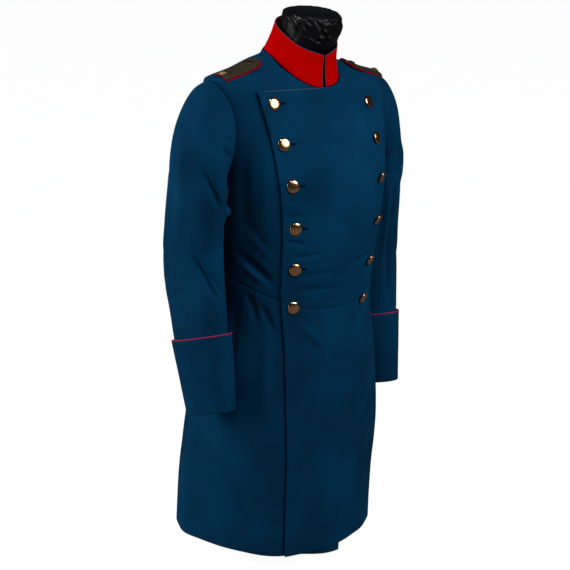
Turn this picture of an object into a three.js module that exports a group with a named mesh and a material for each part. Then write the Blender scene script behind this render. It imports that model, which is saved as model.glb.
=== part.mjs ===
// Double-breasted officer's frock coat on a limbless dress form, in millimetres, +Z up.
// The coat faces -Y and its wearer's right is -X. The origin is the middle of the stand's underside.
import * as THREE from "three";

// ---------------------------------------------------------------- driving sizes

const CLOTH = 2.0; // thickness of the wool
const COLLAR_CLOTH = 3.0; // thickness of the stiffened collar
const SEAM = 0.3; // gap between two pieces that are sewn together
const LAP = 3.6; // how far the over front's face stands above the under front's face
const LAP_FADE = 14; // degrees over which the over front comes back down to the body
const LAP_PAST = 2; // degrees past the under front's edge before it starts to
const LAP_TOP_FADE = 12; // height over which it comes down to the body above the lapel

const WAIST = 520; // height of the waist seam at the centre front
const WAIST_RISE = 58; // how much higher the waist seam runs at the sides and back
const PIT = 767; // height of the underarm point
const TIP = 962; // height of the shoulder tip
const LAPEL_TOP = 943; // height of the lapel's top edge and of the neckline at the centre front
const NECK_SIDE = 1004; // height of the neckline at the shoulder seam
const NECK_BACK = 1020; // height of the neckline at the centre back
const SIDE_BODY_TOP = 847; // height where the side body runs out into the armhole
const HEM = 24; // height of the hem at the over front's edge

const BODY_RADIUS = 180; // the body's rough radius, which turns a seam gap into degrees
const ARM_RADIUS = 60; // the sleeve's rough radius, for the same

const NECK_HALF = 71; // half width of the neckline
const NECK_MID = -72; // where the neck's middle lies, front to back
const NECK_FRONT = 77; // from there to the neckline at the centre front
const NECK_REAR = 71; // from there to the neckline at the centre back

const LEFT_DROP = 14; // how much lower the wearer's left shoulder tip sits
const DROP_FROM = 780; // height where that drop starts
const DROP_SPAN = 150; // over which it grows to all of it, upward and outward

const ARM_FRONT = 16; // degrees that the armhole reaches forward of the side line
const ARM_BACK = 14; // degrees that it reaches behind it
const ARM_ROUNDING = 0.55; // below 1, how full the armhole's curve is at its two ends
const SIDE_SEAM_SWING = 9; // degrees that the side seam swings back between underarm and waist

const BUTTON_RADIUS = 12.5;
const BOARD_BUTTON_RADIUS = 7;
const PIPING_RADIUS = 1.2;

const BASE_RADIUS = 105;
const BASE_HEIGHT = 12;
const BASE_TAPER = 4; // how much smaller the base's top is than its foot, in radius
const POST_RADIUS = 14;

// Sections of the coat's outer face, each a rounded oval about x = 0. Lengths in mm.
const BODY = [
  { z: -20, half: 193, mid: 24, front: 195, back: 195, power: 2.15 },
  { z: 20, half: 192, mid: 21, front: 193, back: 193, power: 2.15 },
  { z: 140, half: 192, mid: 11, front: 188, back: 187, power: 2.2 },
  { z: 290, half: 187, mid: -10, front: 173, back: 171, power: 2.35 },
  { z: 410, half: 179, mid: -27, front: 156, back: 151, power: 2.35 },
  { z: 520, half: 165, mid: -40, front: 138, back: 122, power: 2.3 },
  { z: 590, half: 162, mid: -42, front: 147, back: 108, power: 2.35 },
  { z: 674, half: 170, mid: -47, front: 152, back: 112, power: 2.45 },
  { z: 755, half: 178, mid: -55, front: 148, back: 125, power: 2.5 },
  { z: 850, half: 193, mid: -59, front: 125, back: 132, power: 2.45 },
  { z: 920, half: 203, mid: -62, front: 94, back: 122, power: 2.3 },
  { z: 943, half: 206, mid: -62, front: 86, back: 118, power: 2.2 },
  { z: 962, half: 206, mid: -63, front: 69, back: 108, power: 2.1 },
  { z: 980, half: 150, mid: -67, front: 42, back: 98, power: 2.0 },
  { z: 994, half: 108, mid: -69, front: 22, back: 92, power: 2.0 },
  { z: 1004, half: 72, mid: -71, front: 8, back: 84, power: 2.0 },
  { z: 1012, half: 68, mid: -68, front: 4, back: 74, power: 2.0 },
  { z: 1024, half: 60, mid: -66, front: 3, back: 60, power: 2.0 },
];

// The front edges, by height: how far each lies from the centre front, measured across.
const OVER_EDGE = [
  { z: 0, x: -98 },
  { z: 184, x: -101 },
  { z: 346, x: -107 },
  { z: 520, x: -109 },
  { z: 625, x: -114 },
  { z: 704, x: -121 },
  { z: 811, x: -132 },
  { z: 887, x: -140 },
  { z: 943, x: -146 },
];
const UNDER_EDGE = [
  { z: 0, x: 18 },
  { z: 60, x: 22 },
  { z: 350, x: 70 },
  { z: 520, x: 98 },
  { z: 704, x: 108 },
  { z: 943, x: 128 },
];

// The seam between side body and back, by height, in degrees from the centre front.
const BACK_SEAM = [
  { z: 0, deg: 158 },
  { z: 520, deg: 158 },
  { z: 600, deg: 156 },
  { z: 700, deg: 149 },
  { z: 780, deg: 135 },
  { z: 850, deg: 105 },
];

// How far the hem lies above HEM, by degrees from the centre front (the wearer's left is positive).
const HEM_RISE = [
  { deg: -180, rise: 16 },
  { deg: -90, rise: 16 },
  { deg: -56, rise: 8 },
  { deg: -30, rise: 1 },
  { deg: -16, rise: 3 },
  { deg: 8, rise: 15 },
  { deg: 40, rise: 22 },
  { deg: 90, rise: 20 },
  { deg: 180, rise: 16 },
];
const UNDER_DROP = 17; // how far the under front's free corner hangs below the over hem
const UNDER_DROP_FROM = -26; // bearing where its hem starts to fall
const UNDER_DROP_SPAN = 34; // degrees over which it falls
const UNDER_RISE = 14; // the most that the under hem rises above HEM

// Rings of the sleeve below its head. side is from the centre plane, lift raises the ring's front.
const ARM_RIGHT = [
  { z: 742, side: 233, mid: -52, across: 49, deep: 73, lift: 0 },
  { z: 690, side: 230, mid: -40, across: 49, deep: 73, lift: 0 },
  { z: 640, side: 228, mid: -31, across: 49, deep: 73, lift: 2 },
  { z: 590, side: 227, mid: -32, across: 49, deep: 71, lift: 6 },
  { z: 530, side: 227, mid: -43, across: 48, deep: 67, lift: 11 },
  { z: 469, side: 227, mid: -55, across: 46, deep: 64, lift: 13 },
  { z: 399, side: 227, mid: -72, across: 42, deep: 57, lift: 12 },
  { z: 329, side: 227, mid: -87, across: 38, deep: 50, lift: 10 },
];
const ARM_LEFT = [
  { z: 735, side: 223, mid: -33, across: 42, deep: 69, lift: 0 },
  { z: 684, side: 223, mid: -28, across: 44, deep: 71, lift: 0 },
  { z: 634, side: 224, mid: -20, across: 47, deep: 72, lift: 0 },
  { z: 584, side: 226, mid: -17, across: 49, deep: 70, lift: 3 },
  { z: 524, side: 228, mid: -17, across: 48, deep: 67, lift: 7 },
  { z: 451, side: 231, mid: -17, across: 46, deep: 63, lift: 8 },
  { z: 379, side: 236, mid: -20, across: 42, deep: 58, lift: 8 },
  { z: 307, side: 239, mid: -24, across: 38, deep: 53, lift: 8 },
];
const FORE_SEAM = -30; // degrees round the sleeve of its front seam: 0 is forward, 90 is outward
const HIND_SEAM = 200; // degrees of its back seam
const TOP_COLUMNS = 14;
const UNDER_COLUMNS = 8;
const HEAD_STEPS = [0, 0.14, 0.3, 0.48, 0.68, 0.86]; // where the sleeve head's rings lie
const HEAD_DOWN = 200; // how strongly the head runs down into the arm
const HEAD_GAP = 0.7; // how far the head starts outside the armhole
const HEAD_SPREAD = 0.3; // how much the head opens forward and back as it leaves the armhole
const HEAD_LEAN = 0.2; // how much it leans back as it runs down
const PIT_OUT = 26; // the same two strengths at the underarm, where the head is short
const PIT_DOWN = 40;
// How strongly each head leaves the shoulder outward, and how steeply it falls as it does.
const HEAD_RIGHT = { out: 225, fall: -0.05 };
const HEAD_LEFT = { out: 150, fall: 0.2 };

// Buttons: height and distance from the centre front in each column.
const BUTTONS = [
  { z: 919, right: -119, left: 107 },
  { z: 845, right: -115, left: 104 },
  { z: 767, right: -106, left: 104 },
  { z: 685, right: -98, left: 96 },
  { z: 605, right: -92, left: 86 },
  { z: 528, right: -88, left: 78 },
];

// The collar's top edge, ring by ring of its neckline angle: 0 is the centre front, 180 the back.
const COLLAR_TOP = [
  { deg: 0, radius: 57, z: 1003 },
  { deg: 45, radius: 60, z: 1019 },
  { deg: 90, radius: 61, z: 1048 },
  { deg: 135, radius: 61, z: 1069 },
  { deg: 180, radius: 61, z: 1077 },
];
const COLLAR_TOP_MID = -93; // where the top edge's middle lies, front to back
const COLLAR_END = 2.9; // degrees from the centre front to each of the collar's front ends
const COLLAR_INSET = 1.6; // how far the collar's foot stands inside the neckline
const COLLAR_LIFT = 1.2; // how far its foot stands above the neckline
const COLLAR_HOLLOW = 2.5; // how far its face dips in half way up
const COLLAR_COLUMNS = 32;
const COLLAR_ROWS = [0, 0.33, 0.67, 1];

// A shoulder board, from its rounded neck end to its outer end. Lengths in mm, shares of its length.
const BOARD = {
  inner: 101,
  outer: 192,
  mid: -76,
  width: 42,
  tilt: 13,
  crown: 0.008,
  off: 3.2,
  underlay: 2,
  braid: 2.6,
  margin: 2.2,
  buttonAlong: 0.27,
  pipAlong: 0.93,
};
const PIP = { side: 10, height: 3 };
const BUTTON_OFF = 1.2; // gap under each front button

// The dress form, from the torso's foot to the top of its neck.
const FORM = [
  { z: 470, half: 60, mid: -34, front: 60, back: 50, lift: 0 },
  { z: 474, half: 132, mid: -34, front: 108, back: 92, lift: 0 },
  { z: 520, half: 146, mid: -38, front: 118, back: 100, lift: 0 },
  { z: 590, half: 144, mid: -40, front: 124, back: 90, lift: 0 },
  { z: 674, half: 152, mid: -45, front: 130, back: 94, lift: 0 },
  { z: 755, half: 160, mid: -52, front: 126, back: 106, lift: 0 },
  { z: 850, half: 168, mid: -56, front: 103, back: 112, lift: 0 },
  { z: 905, half: 166, mid: -60, front: 74, back: 104, lift: 0 },
  { z: 932, half: 148, mid: -62, front: 58, back: 92, lift: 0 },
  { z: 950, half: 116, mid: -64, front: 50, back: 82, lift: 0 },
  { z: 968, half: 80, mid: -68, front: 46, back: 70, lift: 0 },
  { z: 988, half: 58, mid: -77, front: 49, back: 62, lift: 0 },
  { z: 1008, half: 54, mid: -88, front: 51, back: 58, lift: -2 },
  { z: 1036, half: 54, mid: -98, front: 61, back: 56, lift: -5 },
  { z: 1064, half: 56, mid: -105, front: 65, back: 58, lift: -7 },
  { z: 1078, half: 56, mid: -107, front: 64, back: 56, lift: -8 },
  { z: 1087, half: 50, mid: -107, front: 57, back: 48, lift: -8 },
  { z: 1091, half: 36, mid: -106, front: 44, back: 32, lift: -8 },
];

// ---------------------------------------------------------------- numbers and curves

const radians = (deg) => (deg * Math.PI) / 180;
const clamp01 = (t) => Math.min(1, Math.max(0, t));
const smooth = (t) => clamp01(t) * clamp01(t) * (3 - 2 * clamp01(t));
const mix = (a, b, t) => a + (b - a) * t;

// A smooth curve through a table's rows that never overshoots them (monotone cubic).
function through(rows, at, value) {
  const x = rows.map((row) => row[at]);
  const y = rows.map((row) => row[value]);
  const slope = x.slice(1).map((next, i) => (y[i + 1] - y[i]) / (next - x[i]));
  const tangent = x.map((_, i) => {
    if (i === 0) return slope[0];
    if (i === x.length - 1) return slope[i - 1];
    if (slope[i - 1] * slope[i] <= 0) return 0;
    const before = x[i] - x[i - 1];
    const after = x[i + 1] - x[i];
    const w1 = 2 * after + before;
    const w2 = after + 2 * before;
    return (w1 + w2) / (w1 / slope[i - 1] + w2 / slope[i]);
  });
  return (wanted) => {
    const v = Math.min(x[x.length - 1], Math.max(x[0], wanted));
    let i = 0;
    while (i < x.length - 2 && v > x[i + 1]) i += 1;
    const width = x[i + 1] - x[i];
    const t = (v - x[i]) / width;
    const t2 = t * t;
    const t3 = t2 * t;
    return (
      (2 * t3 - 3 * t2 + 1) * y[i] +
      (t3 - 2 * t2 + t) * width * tangent[i] +
      (3 * t2 - 2 * t3) * y[i + 1] +
      (t3 - t2) * width * tangent[i + 1]
    );
  };
}

// One curve for each named column of a table.
function curves(rows, at) {
  const made = {};
  for (const name of Object.keys(rows[0])) if (name !== at) made[name] = through(rows, at, name);
  return made;
}

const body = curves(BODY, "z");
const overEdgeX = through(OVER_EDGE, "z", "x");
const underEdgeX = through(UNDER_EDGE, "z", "x");
const backSeamDeg = through(BACK_SEAM, "z", "deg");
const hemRise = through(HEM_RISE, "deg", "rise");

// ---------------------------------------------------------------- the coat's outer face

// The left shoulder hangs a little lower than the right one, from the chest up.
const leftDrop = (x, z) => LEFT_DROP * smooth(x / DROP_SPAN) * smooth((z - DROP_FROM) / DROP_SPAN);

// The point at a bearing (degrees from the centre front, wearer's left positive) and a height.
function bodyPoint(deg, z) {
  const sin = Math.sin(radians(deg));
  const cos = Math.cos(radians(deg));
  const power = body.power(z);
  const depth = cos >= 0 ? body.front(z) : body.back(z);
  const across = Math.abs(sin / body.half(z)) ** power;
  const along = Math.abs(cos / depth) ** power;
  const reach = (across + along) ** (-1 / power);
  const x = reach * sin;
  return new THREE.Vector3(x, body.mid(z) - reach * cos, z - leftDrop(x, z));
}

function bodyNormal(deg, z) {
  const across = bodyPoint(deg + 0.2, z).sub(bodyPoint(deg - 0.2, z));
  const up = bodyPoint(deg, z + 0.5).sub(bodyPoint(deg, z - 0.5));
  return across.cross(up).normalize();
}

const onBody = (deg, z, out) => bodyPoint(deg, z).addScaledVector(bodyNormal(deg, z), out);

// The bearing of a point on the front half (or the back half) at a distance x from the middle.
function bearingOf(x, z, behind = false) {
  const depth = behind ? body.back(z) : body.front(z);
  const power = body.power(z);
  const share = Math.min(1, Math.abs(x) / body.half(z));
  const reach = depth * (1 - share ** power) ** (1 / power);
  const deg = (Math.atan2(Math.abs(x), reach) * 180) / Math.PI;
  return Math.sign(x) * (behind ? 180 - deg : deg);
}

// The waist seam and the hem aren't level. Heights are counted as if they were, then bent here.
function bentHeight(deg, level, under) {
  const away = Math.abs(deg);
  const toSide = away < 90 ? Math.abs(Math.sin(radians(away))) ** 3 : 1;
  const nearWaist = level > WAIST ? 1 - smooth((level - WAIST) / (PIT - WAIST)) : smooth(level / WAIST);
  const nearHem = 1 - smooth((level - HEM) / (WAIST - HEM));
  const corner = under ? UNDER_DROP * smooth((deg - UNDER_DROP_FROM) / UNDER_DROP_SPAN) : 0;
  const rise = hemRise(deg);
  const hem = under ? Math.min(rise, UNDER_RISE) - corner : rise;
  return level + WAIST_RISE * toSide * nearWaist + hem * nearHem;
}

const armShare = (z) => Math.max(0, Math.sin(Math.PI * clamp01((z - PIT) / (TIP - PIT)))) ** ARM_ROUNDING;
const armFrontDeg = (z) => 90 - ARM_FRONT * armShare(z);
const armBackDeg = (z) => 90 + ARM_BACK * armShare(z);
const sideSeamDeg = (z) => 90 + SIDE_SEAM_SWING * smooth((PIT - z) / (PIT - WAIST));

// Half width of the neckline at a height, in front of the shoulder seam and behind it.
const neckX = (share) => NECK_HALF * Math.sqrt(Math.max(0, 1 - share ** 2));
const frontNeckX = (z) => neckX((NECK_SIDE - z) / (NECK_SIDE - LAPEL_TOP));
const backNeckX = (z) => neckX((z - NECK_SIDE) / (NECK_BACK - NECK_SIDE));

// ---------------------------------------------------------------- closed solids from grids

function solid(points, triangles) {
  const volume = triangles.reduce((sum, [a, b, c]) => {
    const cross = new THREE.Vector3().crossVectors(points[b], points[c]);
    return sum + points[a].dot(cross);
  }, 0);
  const facing = volume < 0 ? triangles.map(([a, b, c]) => [a, c, b]) : triangles;
  const geometry = new THREE.BufferGeometry();
  const flat = points.flatMap((p) => [p.x, p.y, p.z]);
  geometry.setAttribute("position", new THREE.Float32BufferAttribute(flat, 3));
  geometry.setIndex(facing.flat());
  geometry.computeVertexNormals();
  return geometry;
}

// A wall between two grids of points, rows of equal length. holds(row, column) says which cells are cloth.
// round joins the last column to the first.
function wall(outer, inner, { round = false, holds = () => true } = {}) {
  const rows = outer.length;
  const columns = outer[0].length;
  const points = [...outer.flat(), ...inner.flat()];
  const at = (row, column, face) => (face * rows + row) * columns + (column % columns);
  const cellColumns = round ? columns : columns - 1;
  const isCloth = (row, column) => {
    if (row < 0 || row >= rows - 1) return false;
    if (!round && (column < 0 || column >= cellColumns)) return false;
    return holds(row, (column + cellColumns) % cellColumns);
  };
  const triangles = [];
  const quad = (a, b, c, d) => triangles.push([a, b, c], [a, c, d]);
  for (let r = 0; r < rows - 1; r += 1) {
    for (let c = 0; c < cellColumns; c += 1) {
      if (!isCloth(r, c)) continue;
      const [a, b, d, e] = [at(r, c, 0), at(r, c + 1, 0), at(r + 1, c + 1, 0), at(r + 1, c, 0)];
      const [f, g, h, i] = [at(r, c, 1), at(r, c + 1, 1), at(r + 1, c + 1, 1), at(r + 1, c, 1)];
      quad(a, b, d, e);
      quad(f, i, h, g);
      if (!isCloth(r - 1, c)) quad(a, f, g, b);
      if (!isCloth(r + 1, c)) quad(e, d, h, i);
      if (!isCloth(r, c - 1)) quad(a, e, i, f);
      if (!isCloth(r, c + 1)) quad(b, g, h, d);
    }
  }
  return usedOnly(points, triangles);
}

// Leaves out the points that no triangle uses.
function usedOnly(points, triangles) {
  const number = new Map();
  const kept = [];
  const renumber = (i) => {
    if (!number.has(i)) {
      number.set(i, kept.length);
      kept.push(points[i]);
    }
    return number.get(i);
  };
  const faces = triangles.map((face) => face.map(renumber));
  return solid(kept, faces);
}

// A closed body from a stack of rings, with a flat fan at each end.
function stack(rings) {
  const around = rings[0].length;
  const points = rings.flat();
  const triangles = [];
  for (let r = 0; r < rings.length - 1; r += 1) {
    for (let c = 0; c < around; c += 1) {
      const a = r * around + c;
      const b = r * around + ((c + 1) % around);
      triangles.push([a, b, b + around], [a, b + around, a + around]);
    }
  }
  for (const [ring, turned] of [[0, true], [rings.length - 1, false]]) {
    const middle = new THREE.Vector3();
    for (const p of rings[ring]) middle.addScaledVector(p, 1 / around);
    const hub = points.push(middle) - 1;
    for (let c = 0; c < around; c += 1) {
      const a = ring * around + c;
      const b = ring * around + ((c + 1) % around);
      triangles.push(turned ? [b, a, hub] : [a, b, hub]);
    }
  }
  return solid(points, triangles);
}

// A cord of round section along a path of points. looped joins its ends.
function cord(path, radius, sides, looped) {
  const up = new THREE.Vector3(0, 0, 1);
  const rings = path.map((p, i) => {
    const before = looped ? path[(i - 1 + path.length) % path.length] : path[Math.max(0, i - 1)];
    const after = looped ? path[(i + 1) % path.length] : path[Math.min(path.length - 1, i + 1)];
    const along = after.clone().sub(before).normalize();
    const radial = new THREE.Vector3(p.x, p.y - NECK_MID, 0).normalize();
    const helper = Math.abs(along.z) > 0.8 ? radial : up;
    const a = new THREE.Vector3().crossVectors(along, helper).normalize();
    const b = new THREE.Vector3().crossVectors(along, a).normalize();
    return Array.from({ length: sides }, (_, k) => {
      const turn = (2 * Math.PI * k) / sides;
      const onA = p.clone().addScaledVector(a, radius * Math.cos(turn));
      return onA.addScaledVector(b, radius * Math.sin(turn));
    });
  });
  if (!looped) return stack(rings);
  const points = rings.flat();
  const triangles = [];
  for (let r = 0; r < rings.length; r += 1) {
    const next = (r + 1) % rings.length;
    for (let c = 0; c < sides; c += 1) {
      const d = (c + 1) % sides;
      const quad = [r * sides + c, r * sides + d, next * sides + d, next * sides + c];
      triangles.push([quad[0], quad[1], quad[2]], [quad[0], quad[2], quad[3]]);
    }
  }
  return solid(points, triangles);
}

// ---------------------------------------------------------------- materials and the group

const FINISH = {
  wool: { color: 0x0b3452, roughness: 0.85, metalness: 0 },
  red_cloth: { color: 0x9b0808, roughness: 0.85, metalness: 0 },
  collar_piping: { color: 0x2b3a52, roughness: 0.8, metalness: 0 },
  cuff_piping: { color: 0x8a1030, roughness: 0.8, metalness: 0 },
  braid: { color: 0x4a3f2c, roughness: 0.55, metalness: 0.3 },
  copper: { color: 0xb4714a, roughness: 0.3, metalness: 1 },
  gilt: { color: 0xc9a24e, roughness: 0.3, metalness: 1 },
  form_cloth: { color: 0x17171a, roughness: 0.6, metalness: 0 },
  stand_metal: { color: 0x202226, roughness: 0.45, metalness: 0.6 },
};

const coat = new THREE.Group();

function add(name, geometry, finish) {
  const mesh = new THREE.Mesh(geometry, new THREE.MeshStandardMaterial(FINISH[finish]));
  mesh.name = name;
  coat.add(mesh);
  return mesh;
}

// ---------------------------------------------------------------- body panels

// How far the over front's face stands off the body. It lies flat on the under front and comes
// down to the body past that piece's edge and above the lapel.
function lapAt(deg, z) {
  const edge = bearingOf(underEdgeX(z), z);
  const beside = 1 - smooth((deg - edge - LAP_PAST) / LAP_FADE);
  const below = 1 - smooth((z - LAPEL_TOP - 1) / LAP_TOP_FADE);
  return LAP * beside * below;
}

// One panel. Each stretch of columns runs between two edges, given in degrees by height. lapel names
// the stretch, first or last, that stops at the lapel's top edge. face is how far it stands off.
function panel({ levels, stretches, lapel, face = () => 0, under = false }) {
  const heights = levels.map((level, i) => {
    if (i === 0) return level + SEAM / 2;
    return i === levels.length - 1 ? level - SEAM / 2 : level;
  });
  const grid = (inward) =>
    heights.map((level) => {
      const row = [];
      stretches.forEach(({ from, to, columns }, part) => {
        const first = part === 0 ? 0 : 1;
        const nudge = ((SEAM / 2 / BODY_RADIUS) * 180) / Math.PI;
        const start = from(level) + (part === 0 ? nudge : 0);
        const end = to(level) - (part === stretches.length - 1 ? nudge : 0);
        for (let c = first; c <= columns; c += 1) {
          const deg = mix(start, end, c / columns);
          const z = bentHeight(deg, level, under);
          row.push(onBody(deg, z, face(deg, z) - inward));
        }
      });
      return row;
    });
  const total = stretches.reduce((sum, part) => sum + part.columns, 0);
  const inLapel = (column) => (lapel === "first" ? column < EDGE_COLUMNS : column >= total - EDGE_COLUMNS);
  const holds = (row, column) => !lapel || !inLapel(column) || levels[row + 1] <= LAPEL_TOP;
  return wall(grid(0), grid(CLOTH), { holds });
}

const EDGE_COLUMNS = 5; // from a front edge to the centre front
const FORE_COLUMNS = 8; // from there to the side seam
const SIDE_COLUMNS = 4; // from there to the back seam
const BACK_COLUMNS = 4; // from there to the centre back
const LOW_LEVELS = [WAIST, 555, 595, 640, 690, 730, PIT];
const CHEST_LEVELS = [795, 825, 855, 885, 915, LAPEL_TOP];
const SHOULDER_LEVELS = [945, 949, 955, TIP, 971, 981, 991, 999, NECK_SIDE - 0.6];
const SKIRT_LEVELS = [HEM, 60, 120, 190, 270, 350, 430, 485, WAIST];

const middle = () => 0;
const overEdge = (level) => bearingOf(overEdgeX(level), level);
const underEdge = (level) => bearingOf(underEdgeX(level), level);

// The edge of a forepart at its outer side: side seam, then armhole, then shoulder seam.
function foreSide(level) {
  if (level <= PIT) return sideSeamDeg(level);
  return level < TIP ? armFrontDeg(level) : 90;
}

function foreNeck(level) {
  return level <= LAPEL_TOP ? 0 : bearingOf(frontNeckX(level), level);
}

const FORE_LEVELS = [...LOW_LEVELS, ...CHEST_LEVELS, ...SHOULDER_LEVELS];

// The over front is the wearer's left. Its lapel reaches past the centre to the wearer's right.
add(
  "forepart_left",
  panel({
    levels: FORE_LEVELS,
    stretches: [
      { from: overEdge, to: foreNeck, columns: EDGE_COLUMNS },
      { from: foreNeck, to: foreSide, columns: FORE_COLUMNS },
    ],
    lapel: "first",
    face: lapAt,
  }),
  "wool",
);

add(
  "forepart_right",
  panel({
    levels: FORE_LEVELS,
    stretches: [
      { from: (z) => -foreSide(z), to: (z) => -foreNeck(z), columns: FORE_COLUMNS },
      { from: middle, to: underEdge, columns: EDGE_COLUMNS },
    ],
    lapel: "last",
  }),
  "wool",
);

add(
  "skirt_left",
  panel({
    levels: SKIRT_LEVELS,
    stretches: [
      { from: overEdge, to: middle, columns: EDGE_COLUMNS },
      { from: middle, to: sideSeamDeg, columns: FORE_COLUMNS },
      { from: sideSeamDeg, to: backSeamDeg, columns: SIDE_COLUMNS },
    ],
    face: lapAt,
  }),
  "wool",
);

add(
  "skirt_right",
  panel({
    levels: SKIRT_LEVELS,
    stretches: [
      { from: (z) => -backSeamDeg(z), to: (z) => -sideSeamDeg(z), columns: SIDE_COLUMNS },
      { from: (z) => -sideSeamDeg(z), to: middle, columns: FORE_COLUMNS },
      { from: middle, to: underEdge, columns: EDGE_COLUMNS },
    ],
    under: true,
  }),
  "wool",
);

const SIDE_LEVELS = [...LOW_LEVELS, 795, 825, SIDE_BODY_TOP];

function sideFront(level) {
  return level <= PIT ? sideSeamDeg(level) : armBackDeg(level);
}

for (const [name, side] of [["right", -1], ["left", 1]]) {
  const from = (z) => (side > 0 ? sideFront(z) : -backSeamDeg(z));
  const to = (z) => (side > 0 ? backSeamDeg(z) : -sideFront(z));
  const stretches = [{ from, to, columns: SIDE_COLUMNS }];
  add("side_body_" + name, panel({ levels: SIDE_LEVELS, stretches }), "wool");
}

const BACK_LEVELS = [
  ...SKIRT_LEVELS,
  ...LOW_LEVELS.slice(1),
  795,
  825,
  SIDE_BODY_TOP,
  885,
  920,
  945,
  TIP,
  971,
  981,
  991,
  999,
  NECK_SIDE,
  1010,
  1016,
  NECK_BACK - 0.6,
];

function backSide(level) {
  if (level <= SIDE_BODY_TOP) return backSeamDeg(level);
  if (level < TIP) return armBackDeg(level);
  return level <= NECK_SIDE ? 90 : bearingOf(backNeckX(level), level, true);
}

for (const [name, side] of [["right", -1], ["left", 1]]) {
  const from = (z) => (side > 0 ? backSide(z) : -180);
  const to = (z) => (side > 0 ? 180 : -backSide(z));
  const stretches = [{ from, to, columns: BACK_COLUMNS }];
  add("back_" + name, panel({ levels: BACK_LEVELS, stretches }), "wool");
}

// ---------------------------------------------------------------- sleeves and cuffs

// A point of the armhole's edge. round is 0 at its front, 90 at the shoulder tip, 270 underarm.
function armholePoint(side, round) {
  const z = mix(PIT, TIP, (1 + Math.sin(radians(round))) / 2);
  const forward = Math.cos(radians(round)) >= 0;
  const deg = forward ? armFrontDeg(z) : armBackDeg(z);
  return bodyPoint(side * deg, z);
}

// A point of a ring of the arm below the head.
function armPoint(side, ring, round, out = 0) {
  const across = (ring.across + out) * Math.sin(radians(round));
  const forward = (ring.deep + out) * Math.cos(radians(round));
  const lift = radians(ring.lift);
  return new THREE.Vector3(
    side * (ring.side + across),
    ring.mid - forward * Math.cos(lift),
    ring.z + forward * Math.sin(lift),
  );
}

// The sleeve's outer face: step below 0..1 is in the head, from the armhole to the arm's first ring.
function headPoint(side, first, round, step) {
  const start = armholePoint(side, round);
  const end = armPoint(side, first, round);
  const head = side < 0 ? HEAD_RIGHT : HEAD_LEFT;
  const away = new THREE.Vector3(side, -HEAD_SPREAD * Math.cos(radians(round)), -head.fall).normalize();
  const low = clamp01((1 - Math.sin(radians(round))) / 2);
  const leave = away.clone().multiplyScalar(mix(head.out, PIT_OUT, low));
  const down = new THREE.Vector3(0, HEAD_LEAN, -1).normalize().multiplyScalar(mix(HEAD_DOWN, PIT_DOWN, low));
  const begun = start.addScaledVector(away, HEAD_GAP);
  const t2 = step * step;
  const t3 = t2 * step;
  return new THREE.Vector3()
    .addScaledVector(begun, 2 * t3 - 3 * t2 + 1)
    .addScaledVector(leave, t3 - 2 * t2 + step)
    .addScaledVector(end, 3 * t2 - 2 * t3)
    .addScaledVector(down, t3 - t2);
}

// Moves each point of a ring grid inward by the wall, along the face's own normal.
function inwardGrid(pointAt, rows, rounds, thickness) {
  return rows.map((_, r) =>
    rounds.map((round) => {
      const here = pointAt(r, round);
      const around = pointAt(r, round + 1.5).sub(pointAt(r, round - 1.5));
      const along = pointAt(Math.min(rows.length - 1, r + 1), round).sub(pointAt(Math.max(0, r - 1), round));
      const normal = around.cross(along).normalize();
      const middle = pointAt(r, round).add(pointAt(r, round + 180)).multiplyScalar(0.5);
      if (normal.dot(here.clone().sub(middle)) < 0) normal.negate();
      return here.addScaledVector(normal, -thickness);
    }),
  );
}

function sleeve(side, rings, from, to, columns) {
  const rows = [...HEAD_STEPS.map((step) => ({ step })), ...rings.map((ring) => ({ ring }))];
  const pointAt = (r, round) =>
    rows[r].ring ? armPoint(side, rows[r].ring, round) : headPoint(side, rings[0], round, rows[r].step);
  const nudge = ((SEAM / 2 / ARM_RADIUS) * 180) / Math.PI;
  const rounds = Array.from({ length: columns + 1 }, (_, c) => mix(from + nudge, to - nudge, c / columns));
  const outer = rows.map((_, r) => rounds.map((round) => pointAt(r, round)));
  return wall(outer, inwardGrid(pointAt, rows, rounds, CLOTH));
}

const CUFF_ROUNDS = [
  ...Array.from({ length: TOP_COLUMNS }, (_, c) => mix(FORE_SEAM, HIND_SEAM, c / TOP_COLUMNS)),
  ...Array.from({ length: UNDER_COLUMNS }, (_, c) => mix(HIND_SEAM, FORE_SEAM + 360, c / UNDER_COLUMNS)),
];
const CUFF_OFF = [4.5, 3.4, 2.6]; // how far the cuff's inner face stands off the sleeve, top to bottom

function cuffPoint(side, rings, row, round, out) {
  const ring = rings[rings.length - 3 + row];
  return armPoint(side, ring, round, CUFF_OFF[row] + out);
}

for (const [name, side, rings] of [["right", -1, ARM_RIGHT], ["left", 1, ARM_LEFT]]) {
  add("top_sleeve_" + name, sleeve(side, rings, FORE_SEAM, HIND_SEAM, TOP_COLUMNS), "wool");
  add("under_sleeve_" + name, sleeve(side, rings, HIND_SEAM, FORE_SEAM + 360, UNDER_COLUMNS), "wool");
  const rowOf = (out) => (_, row) => CUFF_ROUNDS.map((round) => cuffPoint(side, rings, row, round, out));
  const outer = CUFF_OFF.map(rowOf(CLOTH));
  const inner = CUFF_OFF.map(rowOf(0));
  add("cuff_" + name, wall(outer, inner, { round: true }), "wool");
  const edge = CUFF_ROUNDS.map((round) => {
    const top = cuffPoint(side, rings, 0, round, CLOTH / 2);
    const next = cuffPoint(side, rings, 1, round, CLOTH / 2);
    const up = top.clone().sub(next).normalize();
    return top.addScaledVector(up, PIPING_RADIUS + SEAM);
  });
  add("cuff_piping_" + name, cord(edge, PIPING_RADIUS, 6, true), "cuff_piping");
}

// ---------------------------------------------------------------- collar

const collarTop = curves(COLLAR_TOP, "deg");

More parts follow.
